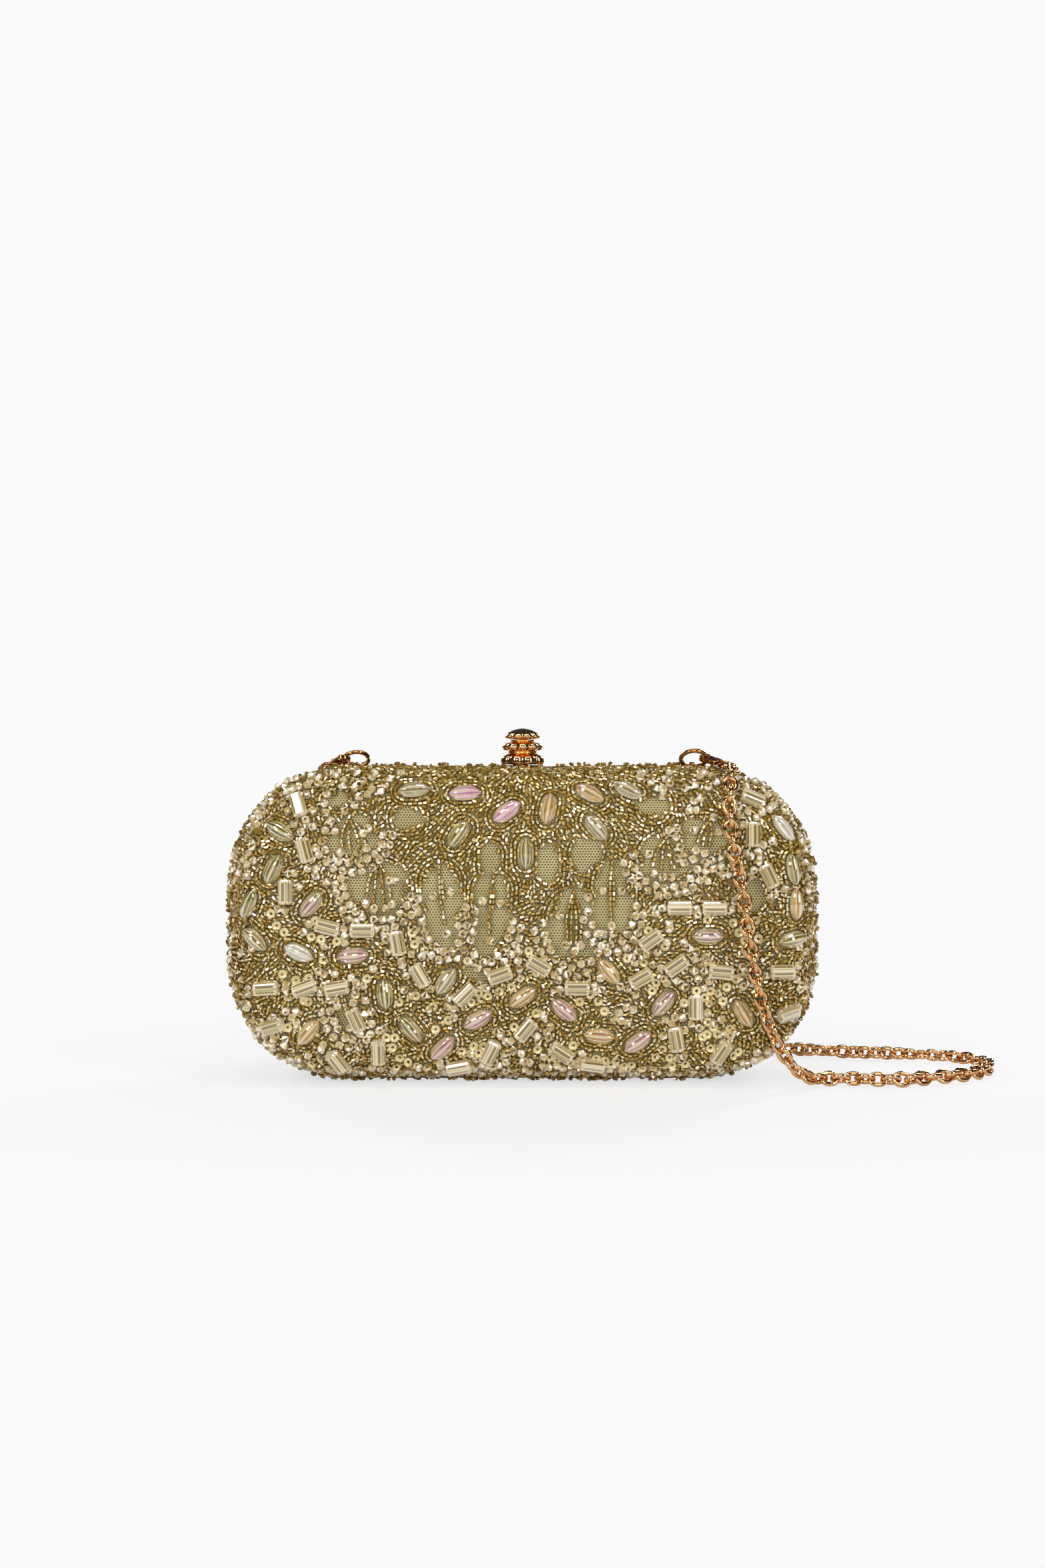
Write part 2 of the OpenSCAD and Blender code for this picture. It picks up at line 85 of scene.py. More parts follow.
skin_low, skin_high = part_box("front_beadwork")
HALF_W = skin_high.x / MM
HEIGHT = skin_high.z / MM
HALF_H = HEIGHT / 2
HALF_D = -skin_low.y / MM
WALL_START = -skin_high.y / MM      # where the bead layer begins, from the seam plane
CORNER_R = 39                       # the outline's corners
EDGE_R = 15                         # the rounded edge between face and side
FLAT_R = CORNER_R - EDGE_R
STRAIGHT_W = HALF_W - CORNER_R
STRAIGHT_H = HALF_H - CORNER_R
QUARTER = EDGE_R * math.pi / 2
REACH = QUARTER + HALF_D - EDGE_R - WALL_START   # from the flat face's outline to the seam, over the edge
NET_DEPTH = 1.55                    # net's outer face, below the outside of the bead layer
LINING_DEPTH = 3.8
MARGIN = 18                         # how far the unfolded cloth is worked past the bag's own size
NOTCH_R = 8                         # opening round the knob

SEED_L = 1.45
SEED_D = 1.14
ROW_PITCH = 1.32                    # between rows of seed beads
SEED_PITCH = 1.6                    # along a row
CRYSTAL_D = 2.9

# Windows of bare net: across, up, half width, half height, lean in degrees
WINDOWS = [
    (-53, 78, 7.5, 6, 10), (-45, 62, 8.5, 8, 0), (-25, 57, 5.5, 13, 5), (-10, 54, 5.5, 13, -5),
    (-36, 84, 4.5, 3, 10), (-10, 71, 3, 5, 0), (8, 70, 3, 6, 0), (16, 50, 7.5, 10.5, 0),
    (28, 58, 5.5, 11.5, 0), (20, 73, 4.5, 5, -20), (45, 71, 8.5, 6.5, 0), (57, 78, 7, 5.5, -15),
    (41, 88, 5, 2.5, 0), (-55, 24, 2.8, 7.5, 15), (72, 60, 3.5, 5, 0), (-58, 90, 3.5, 2, 30),
    (-14, 36, 3.5, 2.5, 0),
]

# The chain's route: right clasp, down the front, along the floor, round behind, into the coil
FRONT_ROUTE = [
    (66.6, -17.6, 100.5), (66.2, -20.6, 99.3), (65.4, -23.8, 96.6), (64.6, -26.7, 92.6), (64.2, -28.7, 87.2),
    (65, -29.3, 77), (66.8, -29.4, 69), (68.5, -29.5, 60), (69.8, -29.5, 49.5), (71.2, -29.6, 41.5),
    (72.8, -29.8, 33), (74.8, -30, 25), (77.3, -30, 18), (80, -29.8, 12.3), (83.6, -29.2, 7.4),
    (88, -27.6, 4),
]
FLOOR_ROUTE = [
    (92.5, -25, 2.7), (97, -23.6, 2.6), (104, -24, 2.6), (112, -25.6, 2.6), (120, -25.2, 2.6),
    (128, -21.8, 2.6), (136, -18.2, 2.6), (143, -13.6, 2.6), (149, -6.4, 2.6), (152.4, 2.6, 2.6),
    (152.6, 11.8, 2.6), (148.6, 19.6, 2.6), (141.4, 25, 2.6), (134, 28, 2.6), (126, 30.6, 2.6),
    (118, 32.2, 2.6), (110, 34.4, 2.6), (102, 37.4, 2.6), (94, 41, 2.6), (84, 45.4, 2.6), (72, 48.6, 2.6),
    (58, 50.8, 2.6), (42, 52.2, 2.6), (26, 52.9, 2.6), (12, 53, 2.6),
]
BACK_ROUTE = [
    (-2, 71.6, 7.9), (-12, 69.8, 7.9), (-22, 65.6, 7.9), (-31, 60.2, 7.4), (-39, 54.8, 5.2), (-47, 50.2, 3.2),
    (-55, 46.4, 2.6), (-63, 42.6, 2.7), (-69.4, 37.8, 4.6), (-72.6, 33, 9.6), (-73.4, 30.8, 16.4),
    (-73, 30.2, 25), (-71.8, 30, 34), (-70.4, 29.8, 43), (-69, 29.6, 52), (-67.6, 29.5, 61),
    (-66.2, 29.4, 70), (-65, 29.3, 79), (-64.2, 28.7, 87.2), (-64.6, 26.7, 92.6), (-65.4, 23.8, 96.6),
    (-66.2, 20.6, 99.3), (-66.6, 17.6, 100.5),
]
COIL_CENTRE = (10, 92)
COIL_R = 39
COIL_TURNS = 3
COIL_PITCH = 6.2
CHAIN_Z = 2.6                       # middle of the chain over the floor
COIL_EXIT = (10, 71.6, CHAIN_Z)     # where chain_main ends and chain_rise begins
BACK_TOUCH = (-73, 30.2, 25)        # where chain_upper begins, behind the back half
CHAIN_STEP = 0.5
PATH_STRIDE = 6                     # steps from one point of a stretch's returned path to the next
LINK_HALF_L = 2.66                  # middle of the wire in an oval link
LINK_HALF_W = 1.88
LINK_WIRE_R = 0.72
LINK_PITCH = 3.8
LINK_SIDES = (20, 10)               # steps round a link and round its wire
FLOOR_GAP = 0.05
RING_WIRE_R = 0.7


# ---- Meshes ----

def make(name, points, faces, material, body, slot, smooth=True):
    """A mesh piece from points in millimetres, riding on a CAD body."""
    mesh = bpy.data.meshes.new(name)
    mesh.from_pydata((np.asarray(points, float) * MM).tolist(), [], faces)
    mesh.validate()
    mesh.polygons.foreach_set("use_smooth", [smooth] * len(mesh.polygons))
    for m in material if isinstance(material, (list, tuple)) else [material]:
        mesh.materials.append(m)
    piece = bpy.data.objects.new(name, mesh)
    scene.collection.objects.link(piece)
    if body:
        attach(piece, body)
    return piece


def grid_faces(rows, columns, closed=False):
    """Faces over a grid of points, row by row; closed joins the last column to the first."""
    faces = []
    for r in range(rows - 1):
        for c in range(columns if closed else columns - 1):
            n = (c + 1) % columns
            faces.append((r * columns + c, r * columns + n, (r + 1) * columns + n, (r + 1) * columns + c))
    return faces


def torus_angles(rings, sides):
    """Angles round the ring and round its wire, for each point of a torus."""
    ring = np.linspace(0, 2 * math.pi, rings, endpoint=False)
    tube = np.linspace(0, 2 * math.pi, sides, endpoint=False)
    return [g.ravel() for g in np.meshgrid(ring, tube, indexing="ij")]


def torus_faces(rings, sides):
    faces = []
    for i in range(rings):
        for j in range(sides):
            i2, j2 = (i + 1) % rings * sides, (j + 1) % sides
            faces.append((i * sides + j, i2 + j, i2 + j2, i * sides + j2))
    return faces


def end_caps(rows, sides):
    """Faces that close the first and the last row of a closed grid."""
    return [tuple(range(sides)), tuple(range((rows - 1) * sides, rows * sides))[::-1]]


def unit(v):
    return v / np.maximum(np.linalg.norm(v, axis=-1, keepdims=True), 1e-9)


def turned(points):
    """Points of the front half moved to the back half."""
    return points * np.array([-1, -1, 1])


# ---- Materials ----

def material(name, color, **sockets):
    """A Principled material; each extra socket is named with underscores for spaces."""
    m = bpy.data.materials.new(name)
    m.use_nodes = True
    shader = m.node_tree.nodes["Principled BSDF"]
    shader.inputs["Base Color"].default_value = (*color, 1)
    for key, value in sockets.items():
        shader.inputs[key.replace("_", " ")].default_value = value
    return m


def node(m, kind, **inputs):
    n = m.node_tree.nodes.new(kind)
    for key, value in inputs.items():
        n.inputs[key].default_value = value
    return n


def link(m, source, target):
    m.node_tree.links.new(source, target)


def shader_of(m):
    return m.node_tree.nodes["Principled BSDF"]


def noise(m, scale, detail=3):
    """Noise over the object's own coordinates, in features per metre."""
    n = node(m, "ShaderNodeTexNoise", Scale=scale, Detail=detail)
    link(m, node(m, "ShaderNodeTexCoord").outputs["Object"], n.inputs["Vector"])
    return n.outputs["Fac"]


def mapped(m, source, low, high, start=0.3, end=0.7):
    """source brought from start..end to low..high."""
    n = node(m, "ShaderNodeMapRange")
    for key, value in (("From Min", start), ("From Max", end), ("To Min", low), ("To Max", high)):
        n.inputs[key].default_value = value
    link(m, source, n.inputs["Value"])
    return n.outputs["Result"]


def ramp(m, source, stops):
    n = node(m, "ShaderNodeValToRGB")
    elements = n.color_ramp.elements
    while len(elements) < len(stops):
        elements.new(0.5)
    for element, (place, color) in zip(elements, stops):
        element.position = place
        element.color = (*color, 1)
    link(m, source, n.inputs["Fac"])
    return n.outputs["Color"]


def math_node(m, kind, a, b=None):
    """The result of a maths node; a and b are numbers or other nodes' outputs."""
    n = node(m, "ShaderNodeMath")
    n.operation = kind
    for i, value in enumerate((a, b)):
        if isinstance(value, (int, float)):
            n.inputs[i].default_value = value
        elif value is not None:
            link(m, value, n.inputs[i])
    return n.outputs["Value"]


def base_color(m, source):
    """Lets a node's output drive the material's colour."""
    link(m, source, shader_of(m).inputs["Base Color"])


def bump(m, source, strength, distance):
    n = node(m, "ShaderNodeBump", Strength=strength, Distance=distance)
    link(m, source, n.inputs["Height"])
    link(m, n.outputs["Normal"], shader_of(m).inputs["Normal"])


def polished(name, color, deep, rough, metallic=1.0):
    """Plated metal with faint casting waves, duller patches and a deeper tone in places."""
    m = material(name, color, Metallic=metallic)
    wave = noise(m, 320, 2)
    base_color(m, ramp(m, wave, [(0.35, deep), (0.6, color)]))
    link(m, mapped(m, noise(m, 2500), rough * 0.6, rough * 1.6), shader_of(m).inputs["Roughness"])
    bump(m, wave, 0.05, 0.00006)
    return m


def net_material():
    """Hexagonal net over pale cloth, with painted shade in its holes; the net's UV runs in millimetres over
    the unfolded half.
    """
    m = material("khaki_net", (0.3, 0.28, 0.1), Roughness=0.55)
    cell = 0.95
    split = node(m, "ShaderNodeSeparateXYZ")
    link(m, node(m, "ShaderNodeUVMap").outputs["UV"], split.inputs["Vector"])

    def offset(axis, size, shift):
        """Distance along one axis from the middle of a lattice cell, in cells."""
        place = math_node(m, "ADD", math_node(m, "DIVIDE", split.outputs[axis], size), shift)
        return math_node(m, "SUBTRACT", math_node(m, "FRACT", place), 0.5)

    def holes(shift):
        """Distance to the nearest hole centre of one of the two rectangular lattices that make the net."""
        dx = offset("X", cell, shift)
        dy = math_node(m, "MULTIPLY", offset("Y", cell * math.sqrt(3), shift), math.sqrt(3))
        squares = [math_node(m, "MULTIPLY", d, d) for d in (dx, dy)]
        return math_node(m, "SQRT", math_node(m, "ADD", *squares))

    thread = mapped(m, math_node(m, "MINIMUM", holes(0.0), holes(0.5)), 0, 1, 0.33, 0.42)
    mix = node(m, "ShaderNodeMix")
    mix.data_type = "RGBA"
    link(m, thread, mix.inputs["Factor"])
    # the holes get a dark colour: painted shade where one sees into them
    mix.inputs["A"].default_value = (0.17, 0.13, 0.03, 1)
    patches = ramp(m, noise(m, 60), [(0.35, (0.58, 0.49, 0.23)), (0.65, (0.74, 0.65, 0.35))])
    link(m, patches, mix.inputs["B"])
    base_color(m, mix.outputs["Result"])
    bump(m, thread, 0.7, 0.0002)
    return m


def satin_material():
    m = material("champagne_satin", (0.6, 0.5, 0.3), Roughness=0.38, Sheen_Weight=0.4)
    weave = noise(m, 4200, 2)
    base_color(m, ramp(m, noise(m, 45), [(0.3, (0.5, 0.41, 0.23)), (0.7, (0.68, 0.58, 0.37))]))
    link(m, mapped(m, weave, 0.3, 0.48), shader_of(m).inputs["Roughness"])
    bump(m, weave, 0.25, 0.00008)
    return m


def board_material():
    m = material("shell_board", (0.2, 0.18, 0.16), Roughness=0.7)
    grain = noise(m, 1500)
    base_color(m, ramp(m, grain, [(0.3, (0.16, 0.145, 0.13)), (0.7, (0.26, 0.24, 0.21))]))
    bump(m, grain, 0.3, 0.0001)
    return m


def glass(name, color, **sockets):
    """Glass that is lined or faceted, so that its tint shows from every side."""
    return material(name, color, Coat_Weight=1.0, Coat_Roughness=0.03, Coat_IOR=1.55, **sockets)


def crystal(name, color, film, clear=0.3):
    """Cut crystal with an iridescent film of a given thickness in nanometres."""
    return glass(name, color, Roughness=0.05, IOR=1.58, Transmission_Weight=clear,
                 Thin_Film_Thickness=film, Thin_Film_IOR=1.7)


def stone_material(name, ends, film):
    """The tinted facets of an iridescent stone: the tint wanders from one colour to the next along it."""
    m = crystal(name, ends[0], film, 0.2)
    base_color(m, ramp(m, noise(m, 260, 1), list(zip((0.38, 0.52, 0.66), ends))))
    return m


def seed_glass(name, color, metallic, rough):
    """Glass with a metal lining that shows through its tint."""
    return glass(f"seed_{name}", color, Metallic=metallic, Roughness=rough)


ROSE_GOLD = polished("rose_gold", (0.8, 0.48, 0.24), (0.62, 0.33, 0.13), 0.06)
DEEP_GOLD = polished("deep_gold", (0.5, 0.24, 0.08), (0.34, 0.14, 0.04), 0.12)
NECK_GOLD = polished("neck_gold", (0.86, 0.4, 0.09), (0.7, 0.27, 0.05), 0.3)
STEEL = polished("spring_steel", (0.62, 0.62, 0.63), (0.5, 0.5, 0.52), 0.2)
NET = net_material()
SATIN = satin_material()
BOARD = board_material()
SEED_EDGES = [
    seed_glass("amber", (0.24, 0.125, 0.009), 0.35, 0.16),
    seed_glass("olive", (0.21, 0.14, 0.016), 0.35, 0.16),
    seed_glass("honey", (0.4, 0.24, 0.028), 0.35, 0.16),
]
# Painted highlights: pale tints for the outward face of each seed bead, where its metal lining reflects the
# light
SEED_HIGHLIGHTS = [
    seed_glass("silver_highlight", (0.86, 0.76, 0.48), 0.3, 0.18),
    seed_glass("pale_highlight", (0.64, 0.47, 0.16), 0.35, 0.18),
    seed_glass("gold_highlight", (0.42, 0.26, 0.045), 0.4, 0.18),
]
SEQUIN = polished("sequin_gold", (0.86, 0.73, 0.42), (0.7, 0.56, 0.26), 0.3, metallic=0.3)
# Crystal tints; the white one is a painted glint, and the smoke one also serves as painted shade on outward
# facets
CRYSTALS = [
    crystal("crystal_champagne", (0.62, 0.45, 0.17), 0),
    crystal("crystal_pale", (0.86, 0.72, 0.4), 300),
    crystal("crystal_blush", (0.78, 0.56, 0.33), 480),
    crystal("crystal_smoke", (0.22, 0.14, 0.025), 0),
    crystal("crystal_painted_glint", (1.0, 0.95, 0.8), 260, 0.1),
]
# Block tints; the second, white one is a painted highlight and the third, darker one painted shade, laid in
# strips on the clear cut glass
BLOCKS = [
    crystal("block_champagne", (0.58, 0.46, 0.2), 0),
    crystal("block_highlight", (0.84, 0.74, 0.48), 260, 0.15),
    crystal("block_khaki", (0.28, 0.2, 0.06), 0),
    crystal("block_peach", (0.7, 0.53, 0.3), 440),
]
# The line tint is a painted highlight, a pale strip along the stones' facets
STONES = [
    crystal("stone_rim", (0.66, 0.55, 0.28), 350),
    crystal("stone_highlight_line", (0.76, 0.66, 0.42), 300, 0.15),
]
# Each tint: name, the three colours that it wanders through, film thickness
STONE_BODIES = [
    ("pink", [(0.62, 0.27, 0.34), (0.76, 0.42, 0.46), (0.72, 0.48, 0.3)], 520),
    ("amber", [(0.7, 0.33, 0.08), (0.72, 0.45, 0.16), (0.7, 0.34, 0.2)], 420),
    ("green", [(0.2, 0.19, 0.03), (0.34, 0.3, 0.06), (0.42, 0.26, 0.1)], 0),
    ("violet", [(0.5, 0.26, 0.34), (0.62, 0.36, 0.3), (0.42, 0.36, 0.12)], 560),
    ("clear", [(0.42, 0.36, 0.15), (0.6, 0.48, 0.26), (0.36, 0.32, 0.12)], 350),
    ("rose", [(0.95, 0.36, 0.66), (1.0, 0.5, 0.78), (0.95, 0.58, 0.68)], 520),
    ("white", [(1.0, 0.97, 0.92), (0.94, 0.9, 0.84), (1.0, 0.95, 0.88)], 300),
]
SHADED_FACET_FACTOR = 0.55                       # how much darker a stone's deep facets are: painted shade on those facets
# Each tint also gets a darker copy, painted shade for the stones' deep facets
for tint, ends, film in STONE_BODIES:
    shaded_ends = [tuple(c * SHADED_FACET_FACTOR for c in end) for end in ends]
    STONES.append(stone_material(f"stone_{tint}", ends, film))
    STONES.append(stone_material(f"stone_{tint}_deep", shaded_ends, film))


# ---- Camera, floor, light ----

PALE = (0.955, 0.955, 0.96, 1)      # the photograph's background


def camera():
    data = bpy.data.cameras.new("camera")
    data.lens = 42.3
    data.sensor_width = 36
    piece = bpy.data.objects.new("camera", data)
    piece.location = (0, -0.6, 0.0947)
    piece.rotation_euler = (math.radians(90), 0, 0)
    scene.collection.objects.link(piece)
    scene.camera = piece


def floor():
    """A round pale floor that turns into plain light far out, so that it has no visible edge."""
    rings, sides, level = (60, 200, 500, 1000, 2500, 6000, 15000, 30000), 64, -0.02
    turns = [2 * math.pi * i / sides for i in range(sides)]
    points = [(r * math.cos(a), r * math.sin(a), level) for r in rings for a in turns]
    faces = grid_faces(len(rings), sides, closed=True) + [tuple(range(sides))]
    mesh = bpy.data.meshes.new("floor")
    mesh.from_pydata((np.array(points) * MM).tolist(), [], faces)
    piece = bpy.data.objects.new("floor", mesh)
    scene.collection.objects.link(piece)
    m = material("floor", (0.93, 0.93, 0.93), Roughness=0.9, Specular_IOR_Level=0.1)
    length = node(m, "ShaderNodeVectorMath")
    length.operation = "LENGTH"
    link(m, node(m, "ShaderNodeTexCoord").outputs["Object"], length.inputs[0])
    far = mapped(m, length.outputs["Value"], 0.7, 1, 0.06, 0.22)
    seen = math_node(m, "MULTIPLY", far, node(m, "ShaderNodeLightPath").outputs["Is Camera Ray"])
    glow = node(m, "ShaderNodeEmission", Color=PALE)
    blend = node(m, "ShaderNodeMixShader")
    link(m, seen, blend.inputs["Fac"])
    link(m, shader_of(m).outputs["BSDF"], blend.inputs[1])
    link(m, glow.outputs["Emission"], blend.inputs[2])
    link(m, blend.outputs["Shader"], m.node_tree.nodes["Material Output"].inputs["Surface"])
    mesh.materials.append(m)


def softbox(name, place, aim, size, power):
    data = bpy.data.lights.new(name, "AREA")
    data.shape = "RECTANGLE"
    data.size, data.size_y = size
    data.energy = power
    piece = bpy.data.objects.new(name, data)
    piece.location = place
    away = np.array(place, float) - np.array(aim, float)
    tilt, turn = math.acos(away[2] / np.linalg.norm(away)), math.atan2(away[1], away[0])
    piece.rotation_euler = (tilt, 0, turn + math.pi / 2)
    piece.visible_camera = False
    scene.collection.objects.link(piece)


def studio():
    middle = (0, 0, 0.05)
    for name, place, size, power in (
            ("key_left", (-0.8, -1.0, 0.7), (0.26, 0.8), 7.4),
            ("key_right", (0.85, -0.9, 0.6), (0.22, 0.8), 5.7),
            ("front", (0.0, -1.15, 0.4), (0.5, 0.14), 3.2),
            ("top", (0.0, -0.15, 1.2), (0.9, 0.25), 4),
            ("back_left", (-0.7, 0.9, 0.7), (0.22, 0.6), 5.5),
            ("back_right", (0.7, 0.9, 0.7), (0.22, 0.6), 5.5)):
        softbox(name, place, middle, size, power)
    world = bpy.data.worlds.new("studio")
    scene.world = world
    world.use_nodes = True
    tree = world.node_tree
    room = tree.nodes["Background"]
    room.inputs["Color"].default_value = (0.95, 0.97, 1.0, 1)
    room.inputs["Strength"].default_value = 0.06
    seen = tree.nodes.new("ShaderNodeBackground")
    seen.inputs["Color"].default_value = PALE
    rays = tree.nodes.new("ShaderNodeLightPath")
    both = tree.nodes.new("ShaderNodeMixShader")
    tree.links.new(rays.outputs["Is Camera Ray"], both.inputs["Fac"])
    tree.links.new(room.outputs["Background"], both.inputs[1])
    tree.links.new(seen.outputs["Background"], both.inputs[2])
    tree.links.new(both.outputs["Shader"], tree.nodes["World Output"].inputs["Surface"])
    scene.view_settings.view_transform = "Standard"


camera()
floor()
studio()


# ---- Chain ----

def smooth(points, step):
    """Points every step along a smooth curve through the given points."""
    p = np.array(points, float)
    p = np.vstack([2 * p[0] - p[1], p, 2 * p[-1] - p[-2]])
    fine = []
    for i in range(1, len(p) - 2):
        t = np.linspace(0, 1, 24, endpoint=False)[:, None]
        a, b, c, d = p[i - 1:i + 3]
        square, cube = 2 * a - 5 * b + 4 * c - d, 3 * b - a - 3 * c + d
        fine.append(0.5 * (2 * b + (c - a) * t + square * t ** 2 + cube * t ** 3))
    fine = np.vstack(fine + [p[-2][None]])
    along = np.concatenate([[0], np.cumsum(np.linalg.norm(np.diff(fine, axis=0), axis=1))])
    at = np.linspace(0, along[-1], max(2, round(along[-1] / step) + 1))
    return np.stack([np.interp(at, along, fine[:, k]) for k in range(3)], axis=1)


def coil_points():
    steps = 30
    points = []
    for i in range(COIL_TURNS * steps + 1):
        angle = -math.pi / 2 - 2 * math.pi * i / steps
        r = COIL_R - COIL_PITCH * i / steps
        points.append((COIL_CENTRE[0] + r * math.cos(angle), COIL_CENTRE[1] + r * math.sin(angle), CHAIN_Z))
    return points


def carried(path):
    """Unit tangent and two square directions at each point, carried along without twisting."""
    t = unit(np.gradient(path, axis=0))
    side = [np.array([0.0, -1.0, 0.0])]
    for i in range(len(path)):
        s = side[-1] - np.dot(side[-1], t[i]) * t[i]
        side.append(s / np.linalg.norm(s))
    side = np.array(side[1:])
    return t, side, np.cross(t, side)


def nearest(path, point):
    return int(np.argmin(np.linalg.norm(path - np.array(point), axis=1)))


def link_shape():
    """Points of one oval link about its own middle, with its length along the first axis."""
    a, b = torus_angles(*LINK_SIDES)
    outward = unit(np.stack([np.cos(a) / LINK_HALF_L, np.sin(a) / LINK_HALF_W, 0 * a], axis=1))
    local = np.stack([LINK_HALF_L * np.cos(a), LINK_HALF_W * np.sin(a), LINK_WIRE_R * np.sin(b)], axis=1)
    return local + outward * LINK_WIRE_R * np.cos(b)[:, None]


def chain():
    """The chain's three stretches, each with its path; the links stand crosswise by turns."""
    path = smooth(FRONT_ROUTE + FLOOR_ROUTE + coil_points() + BACK_ROUTE, CHAIN_STEP)
    step = float(np.linalg.norm(path[1] - path[0]))
    t, side, up = carried(path)
    hanging = np.clip((path[:, 2] - 4) / 30, 0, 1)
    roll = np.radians(45) * (1 - hanging)
    local = link_shape()
    faces = np.array(torus_faces(*LINK_SIDES))
    stations = np.arange(LINK_PITCH * 0.6, (len(path) - 1) * step - LINK_PITCH * 0.4, LINK_PITCH)
    index = np.round(stations / step).astype(int)
    coil_end = nearest(path, COIL_EXIT)
    rises = coil_end + nearest(path[coil_end:], BACK_TOUCH)
    turns = np.random.default_rng(3).normal(0, 0.12, len(index))

    def stretch(name, first, last):
        chosen = [(k, i) for k, i in enumerate(index) if first <= i < last]
        points, all_faces = [], []
        for n, (k, i) in enumerate(chosen):
            angle = roll[i] + (math.pi / 2 if k % 2 else 0) + turns[k]
            flat = math.cos(angle) * up[i] + math.sin(angle) * side[i]
            normal = np.cross(t[i], flat)
            one = path[i] + local @ np.array([t[i], flat, normal])
            one[:, 2] += max(FLOOR_GAP - one[:, 2].min(), 0)
            points.append(one)
            all_faces.append(faces + n * len(local))
        piece = make(name, np.vstack(points), np.vstack(all_faces).tolist(), ROSE_GOLD, None, "gold_metal")
        return piece, path[first:last:PATH_STRIDE]

    return (stretch("chain_main", 0, coil_end), stretch("chain_rise", coil_end, rises),
            stretch("chain_upper", rises, len(path)))


def chain_length(path):
    return float(np.linalg.norm(np.diff(path, axis=0), axis=1).sum()) * MM


# ---- Metal fittings ----

def cast(node_name, name, voxel=0.14, smoothing=6, metal=None):
    """The CAD node's own shape with its edges rounded as a cast and polished part's are."""
    source = frame["nodes"][node_name]
    mesh = source.data.copy()
    mesh.materials.clear()
    mesh.materials.append(metal or ROSE_GOLD)
    piece = bpy.data.objects.new(name, mesh)
    scene.collection.objects.link(piece)
    remesh = piece.modifiers.new("round", "REMESH")
    remesh.mode = "VOXEL"
    remesh.voxel_size = voxel * MM
    remesh.use_smooth_shade = True
    soft = piece.modifiers.new("polish", "SMOOTH")
    soft.factor = 0.5
    soft.iterations = smoothing
    bpy.context.view_layer.objects.active = piece
    for modifier in list(piece.modifiers):
        bpy.ops.object.modifier_apply(modifier=modifier.name)
    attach(piece, source["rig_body"])
    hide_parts(node_name)
    return piece


def torus_piece(node_name, name, wire_r):
    """A ring of round wire where the CAD ring is, found from that ring's own points."""
    source = frame["nodes"][node_name]
    points = np.array([v.co for v in source.data.vertices]) / MM
    middle = points.mean(0)
    axes = np.linalg.svd(points - middle, full_matrices=False)[2]
    spread = (points - middle) @ axes.T
    centre = middle + axes.T @ (spread.max(0) + spread.min(0)) / 2
    r = ((points - centre) @ axes[0]).max() - wire_r
    sides = (64, 18)
    a, b = torus_angles(*sides)
    reach = r + wire_r * np.cos(b)
    local = np.stack([reach * np.cos(a), reach * np.sin(a), wire_r * np.sin(b)], axis=1)
    faces = torus_faces(*sides)
    piece = make(name, centre + local @ axes, faces, DEEP_GOLD, source["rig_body"], "gold_metal")
    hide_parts(node_name)
    return piece


def fitted(side):
    """Ring, clasp, gate, pin and jump ring of one side; returns the pieces on the chain."""
    torus_piece(f"{side}_ring", f"{side}_ring_wire", RING_WIRE_R)
    jump = torus_piece(f"{side}_jump_ring", f"{side}_link_ring", 0.55)
    clasp = cast(f"{side}_clasp", f"{side}_clasp_cast", metal=DEEP_GOLD)
    gate = cast(f"{side}_clasp_gate", f"{side}_gate_cast", 0.09, 4)
    cast(f"{side}_lug", f"{side}_lug_cast", voxel=0.12, metal=DEEP_GOLD)
    pin = frame["nodes"][f"{side}_clasp_pin"]
    return [clasp, gate, pin, jump]


on_right, on_left = fitted("right"), fitted("left")
(chain_main, main_path), (chain_rise, rise_path), (chain_upper, upper_path) = chain()

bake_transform(chain_main)
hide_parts("chain_front", "chain_floor", "chain_coil")
chain_length(main_path)
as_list(on_right)
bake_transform(chain_rise)
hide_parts("chain_back")
chain_length(rise_path)
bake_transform(chain_upper)
chain_length(upper_path)
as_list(on_left)


# ---- Knob ----

PETALS = 8


def lobed(angle, r, petal_r, phase):
    """Radius of the outline of round petals of radius petal_r that reach to r."""
    turn = 2 * math.pi / PETALS
    off = (angle - phase + turn / 2) % turn - turn / 2
    d = r - petal_r
    inside = np.maximum(petal_r ** 2 - (d * np.sin(off)) ** 2, 0)
    return d * np.cos(off) + np.sqrt(inside)


def petal_tier(name, node_name, profile, r, petal_r, phase):
    """A turned tier; a profile row is share of the radius, height over the base and the petals' strength."""
    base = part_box(node_name)[0].z / MM
    sides = 128
    around = np.linspace(0, 2 * math.pi, sides, endpoint=False)
    lobe = lobed(around, r, petal_r, phase)
    rows = smooth(profile, 0.12)
    points = []
    for share, z, strength in rows:
        radius = share * (r * (1 - strength) * 0.94 + lobe * strength)
        level = np.full(sides, base + z)
        points.append(np.stack([radius * np.cos(around), radius * np.sin(around), level], axis=1))
    faces = grid_faces(len(rows), sides, closed=True)
    neck = np.repeat(rows[:-1, 2] < 0.08, sides)
    if profile[-1][0] < 0.1:
        neck[:] = False
    faces += [face[::-1] for face in end_caps(len(rows), sides)]
    piece = make(name, np.vstack(points), faces, [ROSE_GOLD, NECK_GOLD], "knob", "gold_metal")
    caps = [False, False]
    piece.data.polygons.foreach_set("material_index", np.append(neck, caps).astype(np.int32))
    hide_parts(node_name)


